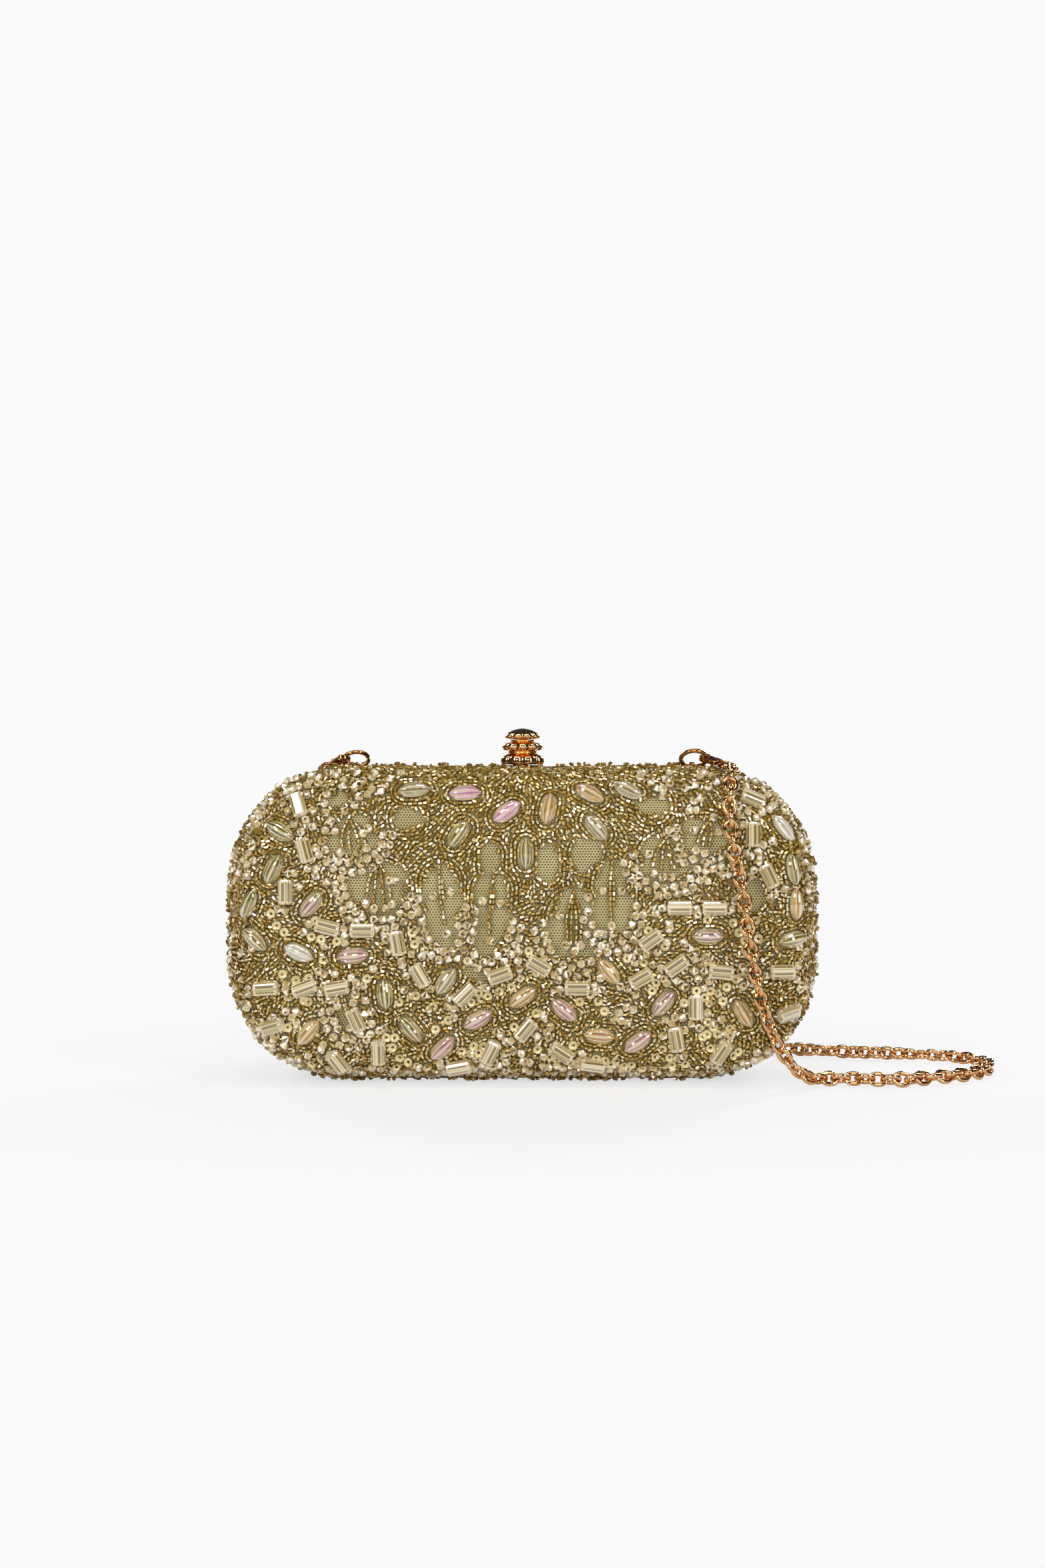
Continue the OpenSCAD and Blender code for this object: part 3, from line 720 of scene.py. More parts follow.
def knob():
    """Three tiers of eight petals with plain necks; the skirt is hollow and goes over the collar."""
    half_petal = math.pi / PETALS
    front = math.pi / 2
    petal_tier("knob_skirt_petals", "knob_skirt", [
        (0.03, 2.45, 0), (0.5, 2.45, 0), (0.64, 2.3, 0), (0.8, 2.08, 0), (0.853, 1.9, 0), (0.853, 1.2, 0),
        (0.853, 0.3, 0), (0.87, 0.05, 0), (0.93, 0.02, 0.4), (0.98, 0.2, 0.8), (1, 0.5, 1), (1, 1.1, 1),
        (0.99, 1.7, 1), (0.96, 2.2, 1),
        (0.87, 2.7, 0.9), (0.78, 3.05, 0.6), (0.71, 3.3, 0.2), (0.67, 3.5, 0), (0.66, 3.8, 0),
        (0.66, 4.36, 0)],
        7.3, 2.5, front + half_petal)
    petal_tier("knob_middle_petals", "knob_middle", [
        (0.7, 0.02, 0.2), (0.87, 0.12, 0.8), (0.96, 0.45, 1), (1, 1.1, 1), (0.98, 1.75, 1),
        (0.9, 2.25, 0.9), (0.78, 2.55, 0.5), (0.67, 2.75, 0), (0.62, 3.0, 0), (0.62, 3.56, 0)],
        6.5, 2.3, front)
    petal_tier("knob_crown_petals", "knob_crown", [
        (0.66, 0.02, 0.3), (0.84, 0.1, 0.9), (0.96, 0.35, 1), (1, 0.8, 1), (0.96, 1.25, 1), (0.86, 1.8, 1),
        (0.72, 2.35, 0.9), (0.54, 2.85, 0.7), (0.34, 3.2, 0.4), (0.14, 3.42, 0.1), (0.03, 3.48, 0.1)],
        6, 2.15, front + half_petal)


knob()


# ---- The bag's skin ----

def skin(u, v, depth):
    """Places and outward directions on the front half, from coordinates u and v unfolded about its middle."""
    u, v = np.asarray(u, float), np.asarray(v, float)
    cx, cz = np.clip(u, -STRAIGHT_W, STRAIGHT_W), np.clip(v, -STRAIGHT_H, STRAIGHT_H)
    dx, dz = u - cx, v - cz
    away = np.maximum(np.hypot(dx, dz), 1e-9)
    beyond = away - FLAT_R
    angle = np.clip(beyond / EDGE_R, 0, math.pi / 2)
    wall = np.maximum(beyond - QUARTER, 0)
    r = EDGE_R - depth
    out = np.where(beyond > 0, FLAT_R + r * np.sin(angle), away)
    point = np.stack([cx + dx / away * out, -(HALF_D - EDGE_R) - r * np.cos(angle) + wall,
                      cz + dz / away * out + HALF_H], axis=-1)
    normal = np.stack([dx / away * np.sin(angle), -np.cos(angle), dz / away * np.sin(angle)], axis=-1)
    return point, normal


def unfold(point):
    """u and v of a point of the front half."""
    x, y, z = point[0], point[1], point[2] - HALF_H
    cx, cz = min(max(x, -STRAIGHT_W), STRAIGHT_W), min(max(z, -STRAIGHT_H), STRAIGHT_H)
    away = max(math.hypot(x - cx, z - cz), 1e-9)
    front = -y - (HALF_D - EDGE_R)
    if away > FLAT_R:
        beyond = EDGE_R * math.atan2(away - FLAT_R, max(front, 0)) + max(-front, 0)
    else:
        beyond = away - FLAT_R
    share = (FLAT_R + beyond) / away
    return cx + (x - cx) * share, cz + (z - cz) * share


def squeeze(u, v):
    """How much closer together the corners' walls are than the unfolded pattern."""
    beyond = math.hypot(max(abs(u) - STRAIGHT_W, 0), max(abs(v) - STRAIGHT_H, 0)) - FLAT_R
    if beyond <= 0 or abs(u) < STRAIGHT_W or abs(v) < STRAIGHT_H:
        return 1.0
    return (FLAT_R + beyond) / (FLAT_R + EDGE_R * math.sin(min(beyond / EDGE_R, math.pi / 2)))


def near_knob(u, v, room):
    """True where the opening round the knob is."""
    beyond = v - STRAIGHT_H - FLAT_R - QUARTER
    y = (HALF_D - EDGE_R) - beyond
    return beyond > 0 and math.hypot(u, y) < NOTCH_R + room


def half_sheet(name, depth, pitch, mat, body, slot, back, lift=None):
    """A cloth over or inside one half; lift(u, v) moves it outwards. Its UV is u and v in millimetres."""
    us = np.arange(-HALF_W - MARGIN, HALF_W + MARGIN + 0.1, pitch)
    vs = np.arange(-HALF_H - MARGIN, HALF_H + MARGIN + 0.1, pitch)
    u, v = [g.ravel() for g in np.meshgrid(us, vs)]
    cx, cz = np.clip(u, -STRAIGHT_W, STRAIGHT_W), np.clip(v, -STRAIGHT_H, STRAIGHT_H)
    away = np.maximum(np.hypot(u - cx, v - cz), 1e-9)
    limit = FLAT_R + REACH
    over = away > limit
    share = np.where(over, limit / away, 1)
    u, v = cx + (u - cx) * share, cz + (v - cz) * share
    point, normal = skin(u, v, depth)
    if lift:
        point = point + normal * lift(u, v)[:, None]
    cut = over | np.array([near_knob(a, b, 0.3) for a, b in zip(u, v)])
    faces = [f for f in grid_faces(len(vs), len(us)) if not all(over[i] for i in f) and
             not any(cut[i] and not over[i] for i in f)]
    if back:
        point = turned(point)
    used = sorted({i for f in faces for i in f})
    renumber = {old: new for new, old in enumerate(used)}
    faces = [tuple(renumber[i] for i in f) for f in faces]
    piece = make(name, point[used], faces, mat, body, slot)
    layer = piece.data.uv_layers.new(name="unfolded")
    uv = np.stack([u[used], v[used]], axis=1)
    corner = np.zeros(len(piece.data.loops), int)
    piece.data.loops.foreach_get("vertex_index", corner)
    layer.data.foreach_set("uv", uv[corner].ravel())
    return piece


def cut_size(depth):
    """Flat size and area of one half's round-cornered cloth at a depth; the knob's notch isn't taken off."""
    corner = FLAT_R + (EDGE_R - depth) * math.pi / 2 + REACH - QUARTER
    width, height = 2 * (STRAIGHT_W + corner), 2 * (STRAIGHT_H + corner)
    area = width * height - (4 - math.pi) * corner ** 2
    return (width * MM, height * MM), area * MM ** 2


# ---- Embroidery ----

def islands(node_name):
    """The separate solids of a CAD node, each as its points in millimetres."""
    mesh = frame["nodes"][node_name].data
    co = np.array([v.co for v in mesh.vertices]) / MM
    keys, where = np.unique(np.round(co, 3), axis=0, return_inverse=True)
    where = where.ravel()
    ends = where[np.array([tuple(e.vertices) for e in mesh.edges])]
    group = np.arange(len(keys))
    while True:
        low = np.minimum(group[ends[:, 0]], group[ends[:, 1]])
        before = group.copy()
        np.minimum.at(group, ends[:, 0], low)
        np.minimum.at(group, ends[:, 1], low)
        group = group[group]
        if (group == before).all():
            return [keys[group == g] for g in np.unique(group)]


def stone_frames(node_name, back):
    """Base point and length, width and outward directions of each stone, as they lie on the front half."""
    frames = []
    for points in islands(node_name):
        points = turned(points) if back else points
        middle = points.mean(0)
        length, width, out = np.linalg.svd(points - middle, full_matrices=False)[2]
        if np.dot(out, middle - np.array([0, 0, HALF_H])) < 0:
            out = -out
        width = np.cross(out, length)
        spread = (points - middle) @ np.array([length, width, out]).T
        low, high = spread.min(0), spread.max(0)
        foot = np.array([(high[0] + low[0]) / 2, (high[1] + low[1]) / 2, low[2]])
        frames.append((middle + np.array([length, width, out]).T @ foot, length, width, out))
    return frames


def low_edge(v):
    """0 on the face, rising to 1 over the last stretch before the bag's lower edge."""
    return np.clip((-44 - v) / 8, 0, 1)


class Sewing:
    """What is sewn on one half: a map of the unfolded cloth that is taken, and the beads placed so far."""
    CELL = 0.25
    ANGLES = 24     # directions in half a turn for which a bead's outline is kept

    def __init__(self, seed):
        self.rng = np.random.default_rng(seed)
        self.left, self.low = -HALF_W - MARGIN, -HALF_H - MARGIN
        self.us = np.arange(self.left, HALF_W + MARGIN, self.CELL)
        self.vs = np.arange(self.low, HALF_H + MARGIN, self.CELL)
        u, v = np.meshgrid(self.us, self.vs)
        inner = np.hypot(np.maximum(np.abs(u) - STRAIGHT_W, 0), np.maximum(np.abs(v) - STRAIGHT_H, 0))
        self.taken = inner > FLAT_R + REACH - 0.4
        y = (HALF_D - EDGE_R) - (v - STRAIGHT_H - FLAT_R - QUARTER)
        self.taken |= (v > STRAIGHT_H + FLAT_R + QUARTER) & (np.hypot(u, y) < NOTCH_R + 0.3)
        self.beads = {"seed": [], "crystal": [], "sequin": []}
        self.stamps = {}

    def stamp(self, phi, length, width):
        """Offsets of the map's cells under a bead lying at angle phi."""
        key = (round(phi / math.pi * self.ANGLES) % self.ANGLES, round(length * 5), round(width * 5))
        if key not in self.stamps:
            a = key[0] * math.pi / self.ANGLES
            n = int(max(length, width) / self.CELL) + 1
            j, i = np.mgrid[-n:n + 1, -n:n + 1]
            x, y = i * self.CELL, j * self.CELL
            along, across = x * math.cos(a) + y * math.sin(a), y * math.cos(a) - x * math.sin(a)
            inside = (np.abs(along) <= length / 2) & (np.abs(across) <= width / 2)
            self.stamps[key] = (j[inside], i[inside])
        return self.stamps[key]

    def cells(self, u, v, phi, length, width):
        more = squeeze(u, v) ** 0.7
        dj, di = self.stamp(phi, length * more, width * more)
        j = np.clip(dj + round((v - self.low) / self.CELL), 0, len(self.vs) - 1)
        i = np.clip(di + round((u - self.left) / self.CELL), 0, len(self.us) - 1)
        return j, i

    def take(self, u, v, phi, length, width):
        self.taken[self.cells(u, v, phi, length, width)] = True

    def sew(self, kind, u, v, phi, length, width, height, allow=0.12, tilt=0.0):
        """Sews one bead if enough of its place is free."""
        place = self.cells(u, v, phi, length, width)
        if self.taken[place].mean() > allow:
            return False
        self.taken[place] = True
        self.beads[kind].append((u, v, phi, height, tilt))
        return True

    def seed_bead(self, u, v, phi, allow=0.12):
        r = self.rng
        return self.sew("seed", u, v, phi, SEED_L, SEED_D * 0.95, SEED_D / 2 + r.uniform(0, 0.25), allow,
                        r.normal(0, 0.12))

    def string(self, points, kind="seed"):
        """Beads one after another along a line of points."""
        pitch = SEED_PITCH if kind == "seed" else CRYSTAL_D + 0.15
        step = 0.2
        line = smooth([(p[0], p[1], 0) for p in points], step)
        for s in np.arange(0, len(line) * step, pitch):
            i = min(int(s / step), len(line) - 2)
            d = line[min(i + 2, len(line) - 1)] - line[max(i - 2, 0)]
            phi = math.atan2(d[1], d[0])
            if kind == "seed":
                self.seed_bead(line[i][0], line[i][1], phi, 0.35)
            else:
                self.crystal_bead(*(line[i][:2] + self.rng.normal(0, 0.25, 2)))

    def crystal_bead(self, u, v, allow=0.3, lift=0.0):
        """A crystal; those near the ends and the lower edge are pressed in."""
        r = self.rng
        size = CRYSTAL_D * 0.86
        pressed = 1.4 * min(max((abs(u) - 82) / 14, low_edge(v)), 1)
        return self.sew("crystal", u, v, r.uniform(0, math.pi), size, size,
                        CRYSTAL_D / 2 + lift - pressed + r.uniform(-0.1, 0.3), allow, r.normal(0, 0.35))


def windows(sewing):
    """Net windows: crystals in a scallop below, leaf veins of seed beads inside."""
    r = sewing.rng
    for x, z, w, h, lean in WINDOWS:
        v, turn = z - HALF_H, math.radians(lean)

        def at(angle, grow):
            a, b = (w + grow) * math.cos(angle), (h + grow) * math.sin(angle)
            return (x + a * math.cos(turn) - b * math.sin(turn), v + a * math.sin(turn) + b * math.cos(turn))

        if w + h > 10:
            sewing.string([at(math.radians(d), 2.0) for d in range(175, 366, 12)], "crystal")
            sewing.string([at(math.radians(d), 4.6) for d in range(185, 356, 12)], "crystal")
            for spread in (-34, -12, 12, 34) if w > 7 else (-18, 0, 18):
                tip = at(math.radians(270 + spread * 1.5), -h * 0.45)
                root = at(math.radians(90), 0.5)
                bend = ((tip[0] + root[0]) / 2 + spread * 0.03, (tip[1] + root[1]) / 2)
                sewing.string([root, bend, tip])
                if r.random() < 0.75:
                    sewing.crystal_bead(tip[0] + r.normal(0, 0.5), tip[1] - 2.0)
                side = 1 if spread > 0 else -1
                sewing.crystal_bead(bend[0] + side * 2.3, bend[1] + r.normal(0, 0.6))
    for x, z, w, h, lean in WINDOWS:
        du, dv = np.meshgrid(sewing.us - x, sewing.vs - (z - HALF_H))
        c, s = math.cos(math.radians(lean)), math.sin(math.radians(lean))
        angle = np.arctan2(dv, du)
        wavy = 1.05 + 0.24 * np.sin(3 * angle + x) + 0.14 * np.sin(5 * angle + z)
        sewing.taken |= ((du * c + dv * s) / w) ** 2 + ((dv * c - du * s) / h) ** 2 < wavy


def distance_field(sewing, features):
    """Distance from every cell to the nearest feature, a line with a half width."""
    u, v = np.meshgrid(sewing.us, sewing.vs)
    field = np.full(u.shape, 1e3)
    for x, z, phi, half_l, half_w in features:
        du, dv = u - x, v - z
        along = du * math.cos(phi) + dv * math.sin(phi)
        across = dv * math.cos(phi) - du * math.sin(phi)
        field = np.minimum(field, np.hypot(along - np.clip(along, -half_l, half_l), across) - half_w)
    return field


def rows_round(sewing, features, count):
    """Rows of seed beads that follow the features' outlines at even distances."""
    field = distance_field(sewing, features)
    slope_v, slope_u = np.gradient(field, sewing.CELL)
    r = sewing.rng

    def read(grid, u, v):
        j = min(max(round((v - sewing.low) / sewing.CELL), 0), len(sewing.vs) - 1)
        i = min(max(round((u - sewing.left) / sewing.CELL), 0), len(sewing.us) - 1)
        return grid[j, i]

    for row in range(count):
        level = 0.75 + row * ROW_PITCH
        starts = np.argwhere((np.abs(field - level) < 0.15) & ~sewing.taken)
        r.shuffle(starts)
        for j, i in starts[::6]:
            u, v = sewing.us[i], sewing.vs[j]
            for _ in range(60):
                gu, gv = read(slope_u, u, v), read(slope_v, u, v)
                size = max(math.hypot(gu, gv), 1e-6)
                miss = read(field, u, v) - level
                u, v = u - miss * gu / size, v - miss * gv / size
                if not sewing.seed_bead(u, v, math.atan2(gu, -gv), 0.1):
                    break
                u, v = u - gv / size * SEED_PITCH, v + gu / size * SEED_PITCH


def flow(u, v, rng):
    """Direction in which the filling's strings run: out from the knob near the top, along waves elsewhere."""
    top = math.atan2(v - (HALF_H + 6), u)
    if math.hypot(u, v - HALF_H) < 40:
        return top + rng.normal(0, 0.25)
    return 1.1 * math.sin(u / 13) + 0.9 * math.sin(v / 9 + u / 31) + rng.normal(0, 0.35)


def fill(sewing):
    """Short strings of seed beads over what is left, then single ones in the gaps."""
    r = sewing.rng
    for allow, longest in ((0.08, 9), (0.12, 4), (0.22, 1), (0.3, 1)):
        free = np.argwhere(~sewing.taken)
        r.shuffle(free)
        for j, i in free[::7 if longest > 1 else 4]:
            if sewing.taken[j, i]:
                continue
            u, v = sewing.us[i], sewing.vs[j]
            phi = flow(u, v, r) if longest > 1 else r.uniform(0, math.pi)
            for _ in range(longest):
                if not sewing.seed_bead(u, v, phi, allow):
                    break
                phi += r.normal(0, 0.12)
                u, v = u + SEED_PITCH * math.cos(phi), v + SEED_PITCH * math.sin(phi)


def second_layer(sewing):
    """Loose beads on top of the others where the embroidery is thickest."""
    r = sewing.rng
    for u, v, _, height, _ in list(sewing.beads["seed"]):
        thick = -60 < v < -6 or abs(u) > 74
        if r.random() < (0.22 if thick else 0.06):
            sewing.beads["seed"].append((u + r.normal(0, 0.5), v + r.normal(0, 0.5), r.uniform(0, math.pi),
                                         height + 0.85 + r.uniform(0, 0.3), r.normal(0, 0.3)))


def scatter(rng, count, across, up):
    """Random places in a rectangle of the unfolded cloth, each drawn when it is asked for."""
    for _ in range(count):
        yield rng.uniform(*across), rng.uniform(*up)


def take_stones(sewing, frames, half_l, half_w):
    """Keeps the stones' places free of beads; returns each stone as a line with a half width."""
    features = []
    for base, length, _, _ in frames:
        u, v = unfold(base)
        u2, v2 = unfold(base + length * 2)
        phi = math.atan2(v2 - v, u2 - u)
        features.append((u, v, phi, half_l, half_w))
        sewing.take(u, v, phi, 2 * (half_l + half_w) - 1.2, 2 * half_w - 0.6)
    return features


def crystals_at_ends(sewing, blocks):
    """Four crystals at each end of each block bead."""
    r = sewing.rng
    for u, v, phi, half_l, half_w in blocks:
        for end in (-1, 1):
            for _ in range(4):
                reach = end * (half_l + half_w + r.uniform(1, 3.6))
                off = r.normal(0, 1.7)
                sewing.crystal_bead(u + reach * math.cos(phi) - off * math.sin(phi),
                                    v + reach * math.sin(phi) + off * math.cos(phi), 0.35)


def crystal_waves(sewing):
    """Crystals at the ends and the lower edge, in low waves, in the upper corners and raised on the sides."""
    whole = (-HALF_W - 14, HALF_W + 14), (-HALF_H - 14, HALF_H + 14)
    for u, v in scatter(sewing.rng, 260, *whole):
        if abs(u) > 80 or v < -38:
            sewing.crystal_bead(u, v, 0.15)
    for u, v in scatter(sewing.rng, 2100, (-HALF_W, HALF_W), (-HALF_H - 4, HALF_H)):
        low = v < -4 and math.sin(u / 15 + 2 * math.sin(v / 11)) > -0.1
        corner = (abs(u) > 52 and v > 12) or (abs(u) > 36 and v > 40)
        if low or corner or v < -46:
            sewing.crystal_bead(u, v, 0.2)
    for u, v in scatter(sewing.rng, 700, *whole):
        if abs(u) > 84 and abs(v) < 40:
            sewing.crystal_bead(u, v, 1.0, sewing.rng.uniform(0.1, 0.9))


def sequin_waves(sewing, count, across, up, bare, size, heights, allow):
    """Sequins in slanting waves; the larger bare is, the narrower they are."""
    r = sewing.rng
    for u, v in scatter(r, count, across, up):
        if abs(math.sin(u / 17 + v / 13)) > bare:
            sewing.sew("sequin", u, v, r.uniform(0, math.pi), size, size, r.uniform(*heights), allow,
                       r.normal(0, 0.25))


def embroider(back):
    """All that is sewn on one half, in the order in which it goes on."""
    side = "back" if back else "front"
    sewing = Sewing(11 if back else 5)
    navettes = stone_frames(f"{side}_navettes", back)
    blocks = stone_frames(f"{side}_block_beads", back)
    navette_lines = take_stones(sewing, navettes, 2.6, 2.5)
    block_lines = take_stones(sewing, blocks, 1.7, 2.4)
    windows(sewing)
    crystals_at_ends(sewing, block_lines)
    rows_round(sewing, navette_lines, 2)
    crystal_waves(sewing)
    sequin_waves(sewing, 420, (-78, 70), (-46, 2), 0.35, 2.5, (0.9, 1.6), 0.45)
    solid = sewing.taken.copy()
    window_lines = [(x, z - HALF_H, math.radians(90 + lean), max(h - w, 0), w)
                    for x, z, w, h, lean in WINDOWS]
    rows_round(sewing, window_lines, 2)
    fill(sewing)
    second_layer(sewing)
    sewing.taken = solid
    sequin_waves(sewing, 500, (-80, 74), (-46, 4), 0.3, 2.7, (1.5, 2.1), 0.1)
    return sewing, navettes, blocks


# ---- Bead shapes ----

def turned_bead(stations, sides):
    """A bead about the x axis from (place, radius) stations, closed at both ends."""
    angle = np.arange(sides) * 2 * math.pi / sides
    points = np.vstack([np.stack([np.full(sides, x), r * np.cos(angle), r * np.sin(angle)], axis=1)
                        for x, r in stations])
    faces = [(b, a, d, c) for a, b, c, d in grid_faces(len(stations), sides, closed=True)]
    return points, faces + end_caps(len(stations), sides)


def seed_shape():
    return turned_bead([(-0.5 * SEED_L, SEED_D * 0.36), (-0.38 * SEED_L, SEED_D / 2),
                        (0.38 * SEED_L, SEED_D / 2), (0.5 * SEED_L, SEED_D * 0.36)], 6)


SEED_HIGHLIGHT_FACE = 7      # the flat side that lies outwards, where the lining shows; its pale tint is a painted highlight that stands for the light the lining reflects


def seed_tints(count, rng):
    """Slot of each face of each seed bead: one tint all over, and on the outward side a painted highlight, a
    pale tint that stands for the light the lining reflects.
    """
    faces = len(seed_shape()[1])
    tints = np.repeat(rng.choice(3, count, p=[0.4, 0.3, 0.3])[:, None], faces, axis=1)
    # the outward face gets one of the painted highlight tints
    tints[:, SEED_HIGHLIGHT_FACE] = 3 + rng.choice(3, count, p=[0.34, 0.36, 0.3])
    return tints


def bicone_shape():
    r = CRYSTAL_D / 2
    return turned_bead([(-r, r * 0.28), (-r * 0.12, r), (r * 0.12, r), (r, r * 0.28)], 8)


def round_shape():
    r = CRYSTAL_D / 2
    end, shoulder = (r * 0.92, r * 0.36), (r * 0.45, r * 0.88)
    return turned_bead([(-end[0], end[1]), (-shoulder[0], shoulder[1]), (0, r), shoulder, end], 9)


def crystal_tints(shape, turns, rng):
    """Slot of each face of each crystal, with light and shade painted on its facets: pale tints and white
    painted glints towards its rim, and darker tints as painted shade where it faces outwards.
    """
    points, faces = shape
    normals = unit(np.array([np.cross(points[f[1]] - points[f[0]], points[f[2]] - points[f[0]])
                             for f in faces]))
    middles = np.array([points[list(f)].mean(0) for f in faces])
    normals *= np.sign((normals * middles).sum(1, keepdims=True))
    facing = np.outer(np.sin(turns), normals[:, 1]) + np.outer(np.cos(turns), normals[:, 2])
    # outward facets get the smoke tint more often, as painted shade; facets towards the rim get the pale and
    # white tints more often, as painted highlights
    middle = rng.choice(5, facing.shape, p=[0.42, 0.18, 0.06, 0.26, 0.08])
    rim = rng.choice(5, facing.shape, p=[0.14, 0.4, 0.08, 0.04, 0.34])
    return np.where(facing > 0.72, middle, np.where(facing > 0.1, rim, 0))


def sequin_shape():
    """A cup sequin with a hole in the middle."""
    sides = 12
    rows = [(0.5, 0.0), (0.8, 0.05), (1.0, 0.12), (1.42, 0.42),
            (1.45, 0.5), (1.38, 0.52), (0.96, 0.24), (0.5, 0.12)]
    angle = np.arange(sides) * 2 * math.pi / sides
    points = np.vstack([np.stack([r * np.cos(angle), r * np.sin(angle), np.full(sides, z)], axis=1)
                        for r, z in rows])
    faces = grid_faces(len(rows), sides, closed=True)
    last = (len(rows) - 1) * sides
    faces += [(last + c, last + (c + 1) % sides, (c + 1) % sides, c) for c in range(sides)]
    return points, faces


NAVETTE_STEPS = 12
NAVETTE_EDGES = [-1, -0.8, -0.6, -0.46, -0.26, -0.12, 0.12, 0.26, 0.46, 0.6, 0.8, 1]


def navette_shape():
    """A pointed oval stone with facets along its length."""
    length, width, height = 10.0, 5.2, 2.9
    points = []
    for i in range(NAVETTE_STEPS + 1):
        t = -1 + 2 * i / NAVETTE_STEPS
        half = max(width / 2 * (1 - abs(t) ** 2.6) ** 0.75, 0.3)
        top = height * (0.34 + 0.66 * (1 - t * t) ** 0.6)
        x = t * length / 2
        points += [(x, half * 0.86 * a, 0) for a in (-1, 1)]
        points += [(x, half * a, top * (0.3 + 0.7 * (1 - abs(a) ** 2.4))) for a in NAVETTE_EDGES[::-1]]
    columns = 2 + len(NAVETTE_EDGES)
    faces = [(b, a, d, c) for a, b, c, d in grid_faces(NAVETTE_STEPS + 1, columns, closed=True)]
    return np.array(points), faces + end_caps(NAVETTE_STEPS + 1, columns)


def navette_tints(frames):
    """Slot of each face of each stone: clear at the rim, then stripes of its two tints, the darker one
    painted shade, and pale lines that are painted highlights.
    """
    rows = []
    for base, _, _, _ in frames:
        body = 2 + 2 * stone_tint(base)
        deep = body + 1
        # deep is the darker copy, painted shade; 1 is the pale painted highlight line
        stripes = [0, 0, 0, body, 1, deep, body, 1, body, deep, 0, body, 0, 0]
        rows.append(stripes * NAVETTE_STEPS + [0, 0])
    return np.array(rows)


BLOCK_SECTION = [
    (-0.5, 0.2), (-0.5, 0.62), (-0.42, 0.84), (-0.3, 0.97), (-0.22, 1), (-0.16, 1), (-0.02, 1), (0.03, 1),
    (0.18, 1), (0.24, 1), (0.33, 0.95), (0.42, 0.84), (0.5, 0.62), (0.5, 0.2), (0.3, 0), (-0.3, 0),
]
BLOCK_RINGS = [(-0.5, 0.72), (-0.44, 1), (-0.37, 1), (0.37, 1), (0.44, 1), (0.5, 0.72)]


def block_shape():
    """A cut-glass tube bead: a flattened bar with strips along it and a shoulder at each end."""
    length, width, height = 7.8, 4.7, 3.4
    points = []
    for x, share in BLOCK_RINGS:
        for y, z in BLOCK_SECTION:
            points.append((x * length, y * width * share, (z - 0.5) * height * share + height / 2))
    sides = len(BLOCK_SECTION)
    faces = grid_faces(len(BLOCK_RINGS), sides, closed=True)
    return np.array(points), faces + [face[::-1] for face in end_caps(len(BLOCK_RINGS), sides)]


def block_tints(count, rng):
    """Slot of each face of each block bead: strips along the middle, clear shoulders and ends; white strips
    on them are painted highlights and khaki strips painted shade.
    """
    strips = [[3, 0, 2, 0, 1, 2, 0, 1, 0, 1, 2, 3, 3, 0, 0, 0],
              [3, 3, 0, 2, 0, 0, 1, 2, 2, 1, 0, 0, 3, 0, 0, 0]]
    clear = [0, 3, 1, 3, 1, 3, 0, 1, 3, 1, 3, 1, 3, 0, 0, 0]
    return np.array([2 * clear + strips[pick] + 2 * clear + [1, 1] for pick in rng.integers(0, 2, count)])


MOST_TRIANGLES = 195000     # in one piece


def place_shapes(name, shape, frames, mats, tints, body, slot, back):
    """The shape at every frame, as one mesh or several; tints has a row of face slots for each frame."""
    points, faces = shape
    triangles = sum(len(f) - 2 for f in faces)
    parts = max(1, math.ceil(len(frames) / (MOST_TRIANGLES // triangles)))
    order = sorted(range(len(frames)), key=lambda k: frames[k][0][0])
    pieces = []
    for part in range(parts):
        chosen = order[part * len(order) // parts:(part + 1) * len(order) // parts]
        all_points = np.vstack([frames[k][0] + points @ frames[k][1] for k in chosen])
        if back:
            all_points = turned(all_points)
        all_faces = [tuple(i + n * len(points) for i in f) for n in range(len(chosen)) for f in faces]
        piece_name = name if parts == 1 else f"{name}_{part + 1}"
        piece = make(piece_name, all_points, all_faces, mats, body, slot, smooth=False)
        piece.data.polygons.foreach_set("material_index", tints[chosen].ravel().astype(np.int32))
        piece.data.update()
        pieces.append(piece)
    return pieces


def bead_frames(beads, radius, roll):
    """Place and axes of each bead: along its string, across it and outwards; none lies below the base."""
    u, v, phi, height, tilt = np.array(beads, float).T
    step = 0.05
    here, out = skin(u, v, NET_DEPTH)
    ahead, _ = skin(u + step * np.cos(phi), v + step * np.sin(phi), NET_DEPTH)
    along = unit(ahead - here)
    across = np.cross(out, along)
    along = unit(along * np.cos(tilt)[:, None] + out * np.sin(tilt)[:, None])
    out_now = np.cross(along, across)
    turn = np.asarray(roll)[:, None]
    y = across * np.cos(turn) + out_now * np.sin(turn)
    z = out_now * np.cos(turn) - across * np.sin(turn)
    by_knob = np.exp(-(np.hypot(u, v - HALF_H - 6) / 18) ** 2)
    sunk = 0.45 * np.maximum(by_knob, low_edge(v))
    centre = here + out * (height - sunk)[:, None]
    centre[:, 2] = np.maximum(centre[:, 2], radius + 0.35)
    return [(centre[k], np.array([along[k], y[k], z[k]])) for k in range(len(u))]


def crease(u, v):
    """Slight waves of the lining."""
    return (0.16 * np.sin(u / 2.3 + 2 * np.sin(v / 11)) * np.sin(v / 3.1 + np.sin(u / 17))
            + 0.1 * np.sin(u / 5.3 + v / 7.9))


def cloths(side, body, back):
    """The net over one half and the lining inside it."""
    net = half_sheet(f"{side}_net", NET_DEPTH, 1.5, NET, body, "net", back)
    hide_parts(f"{side}_net_cover")
    lining = half_sheet(f"{side}_satin", LINING_DEPTH, 1.2, SATIN, body, "satin_lining", back, crease)
    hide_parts(f"{side}_lining")
    for cloth, depth in ((net, NET_DEPTH), (lining, LINING_DEPTH)):
        flat_size, area = cut_size(depth)


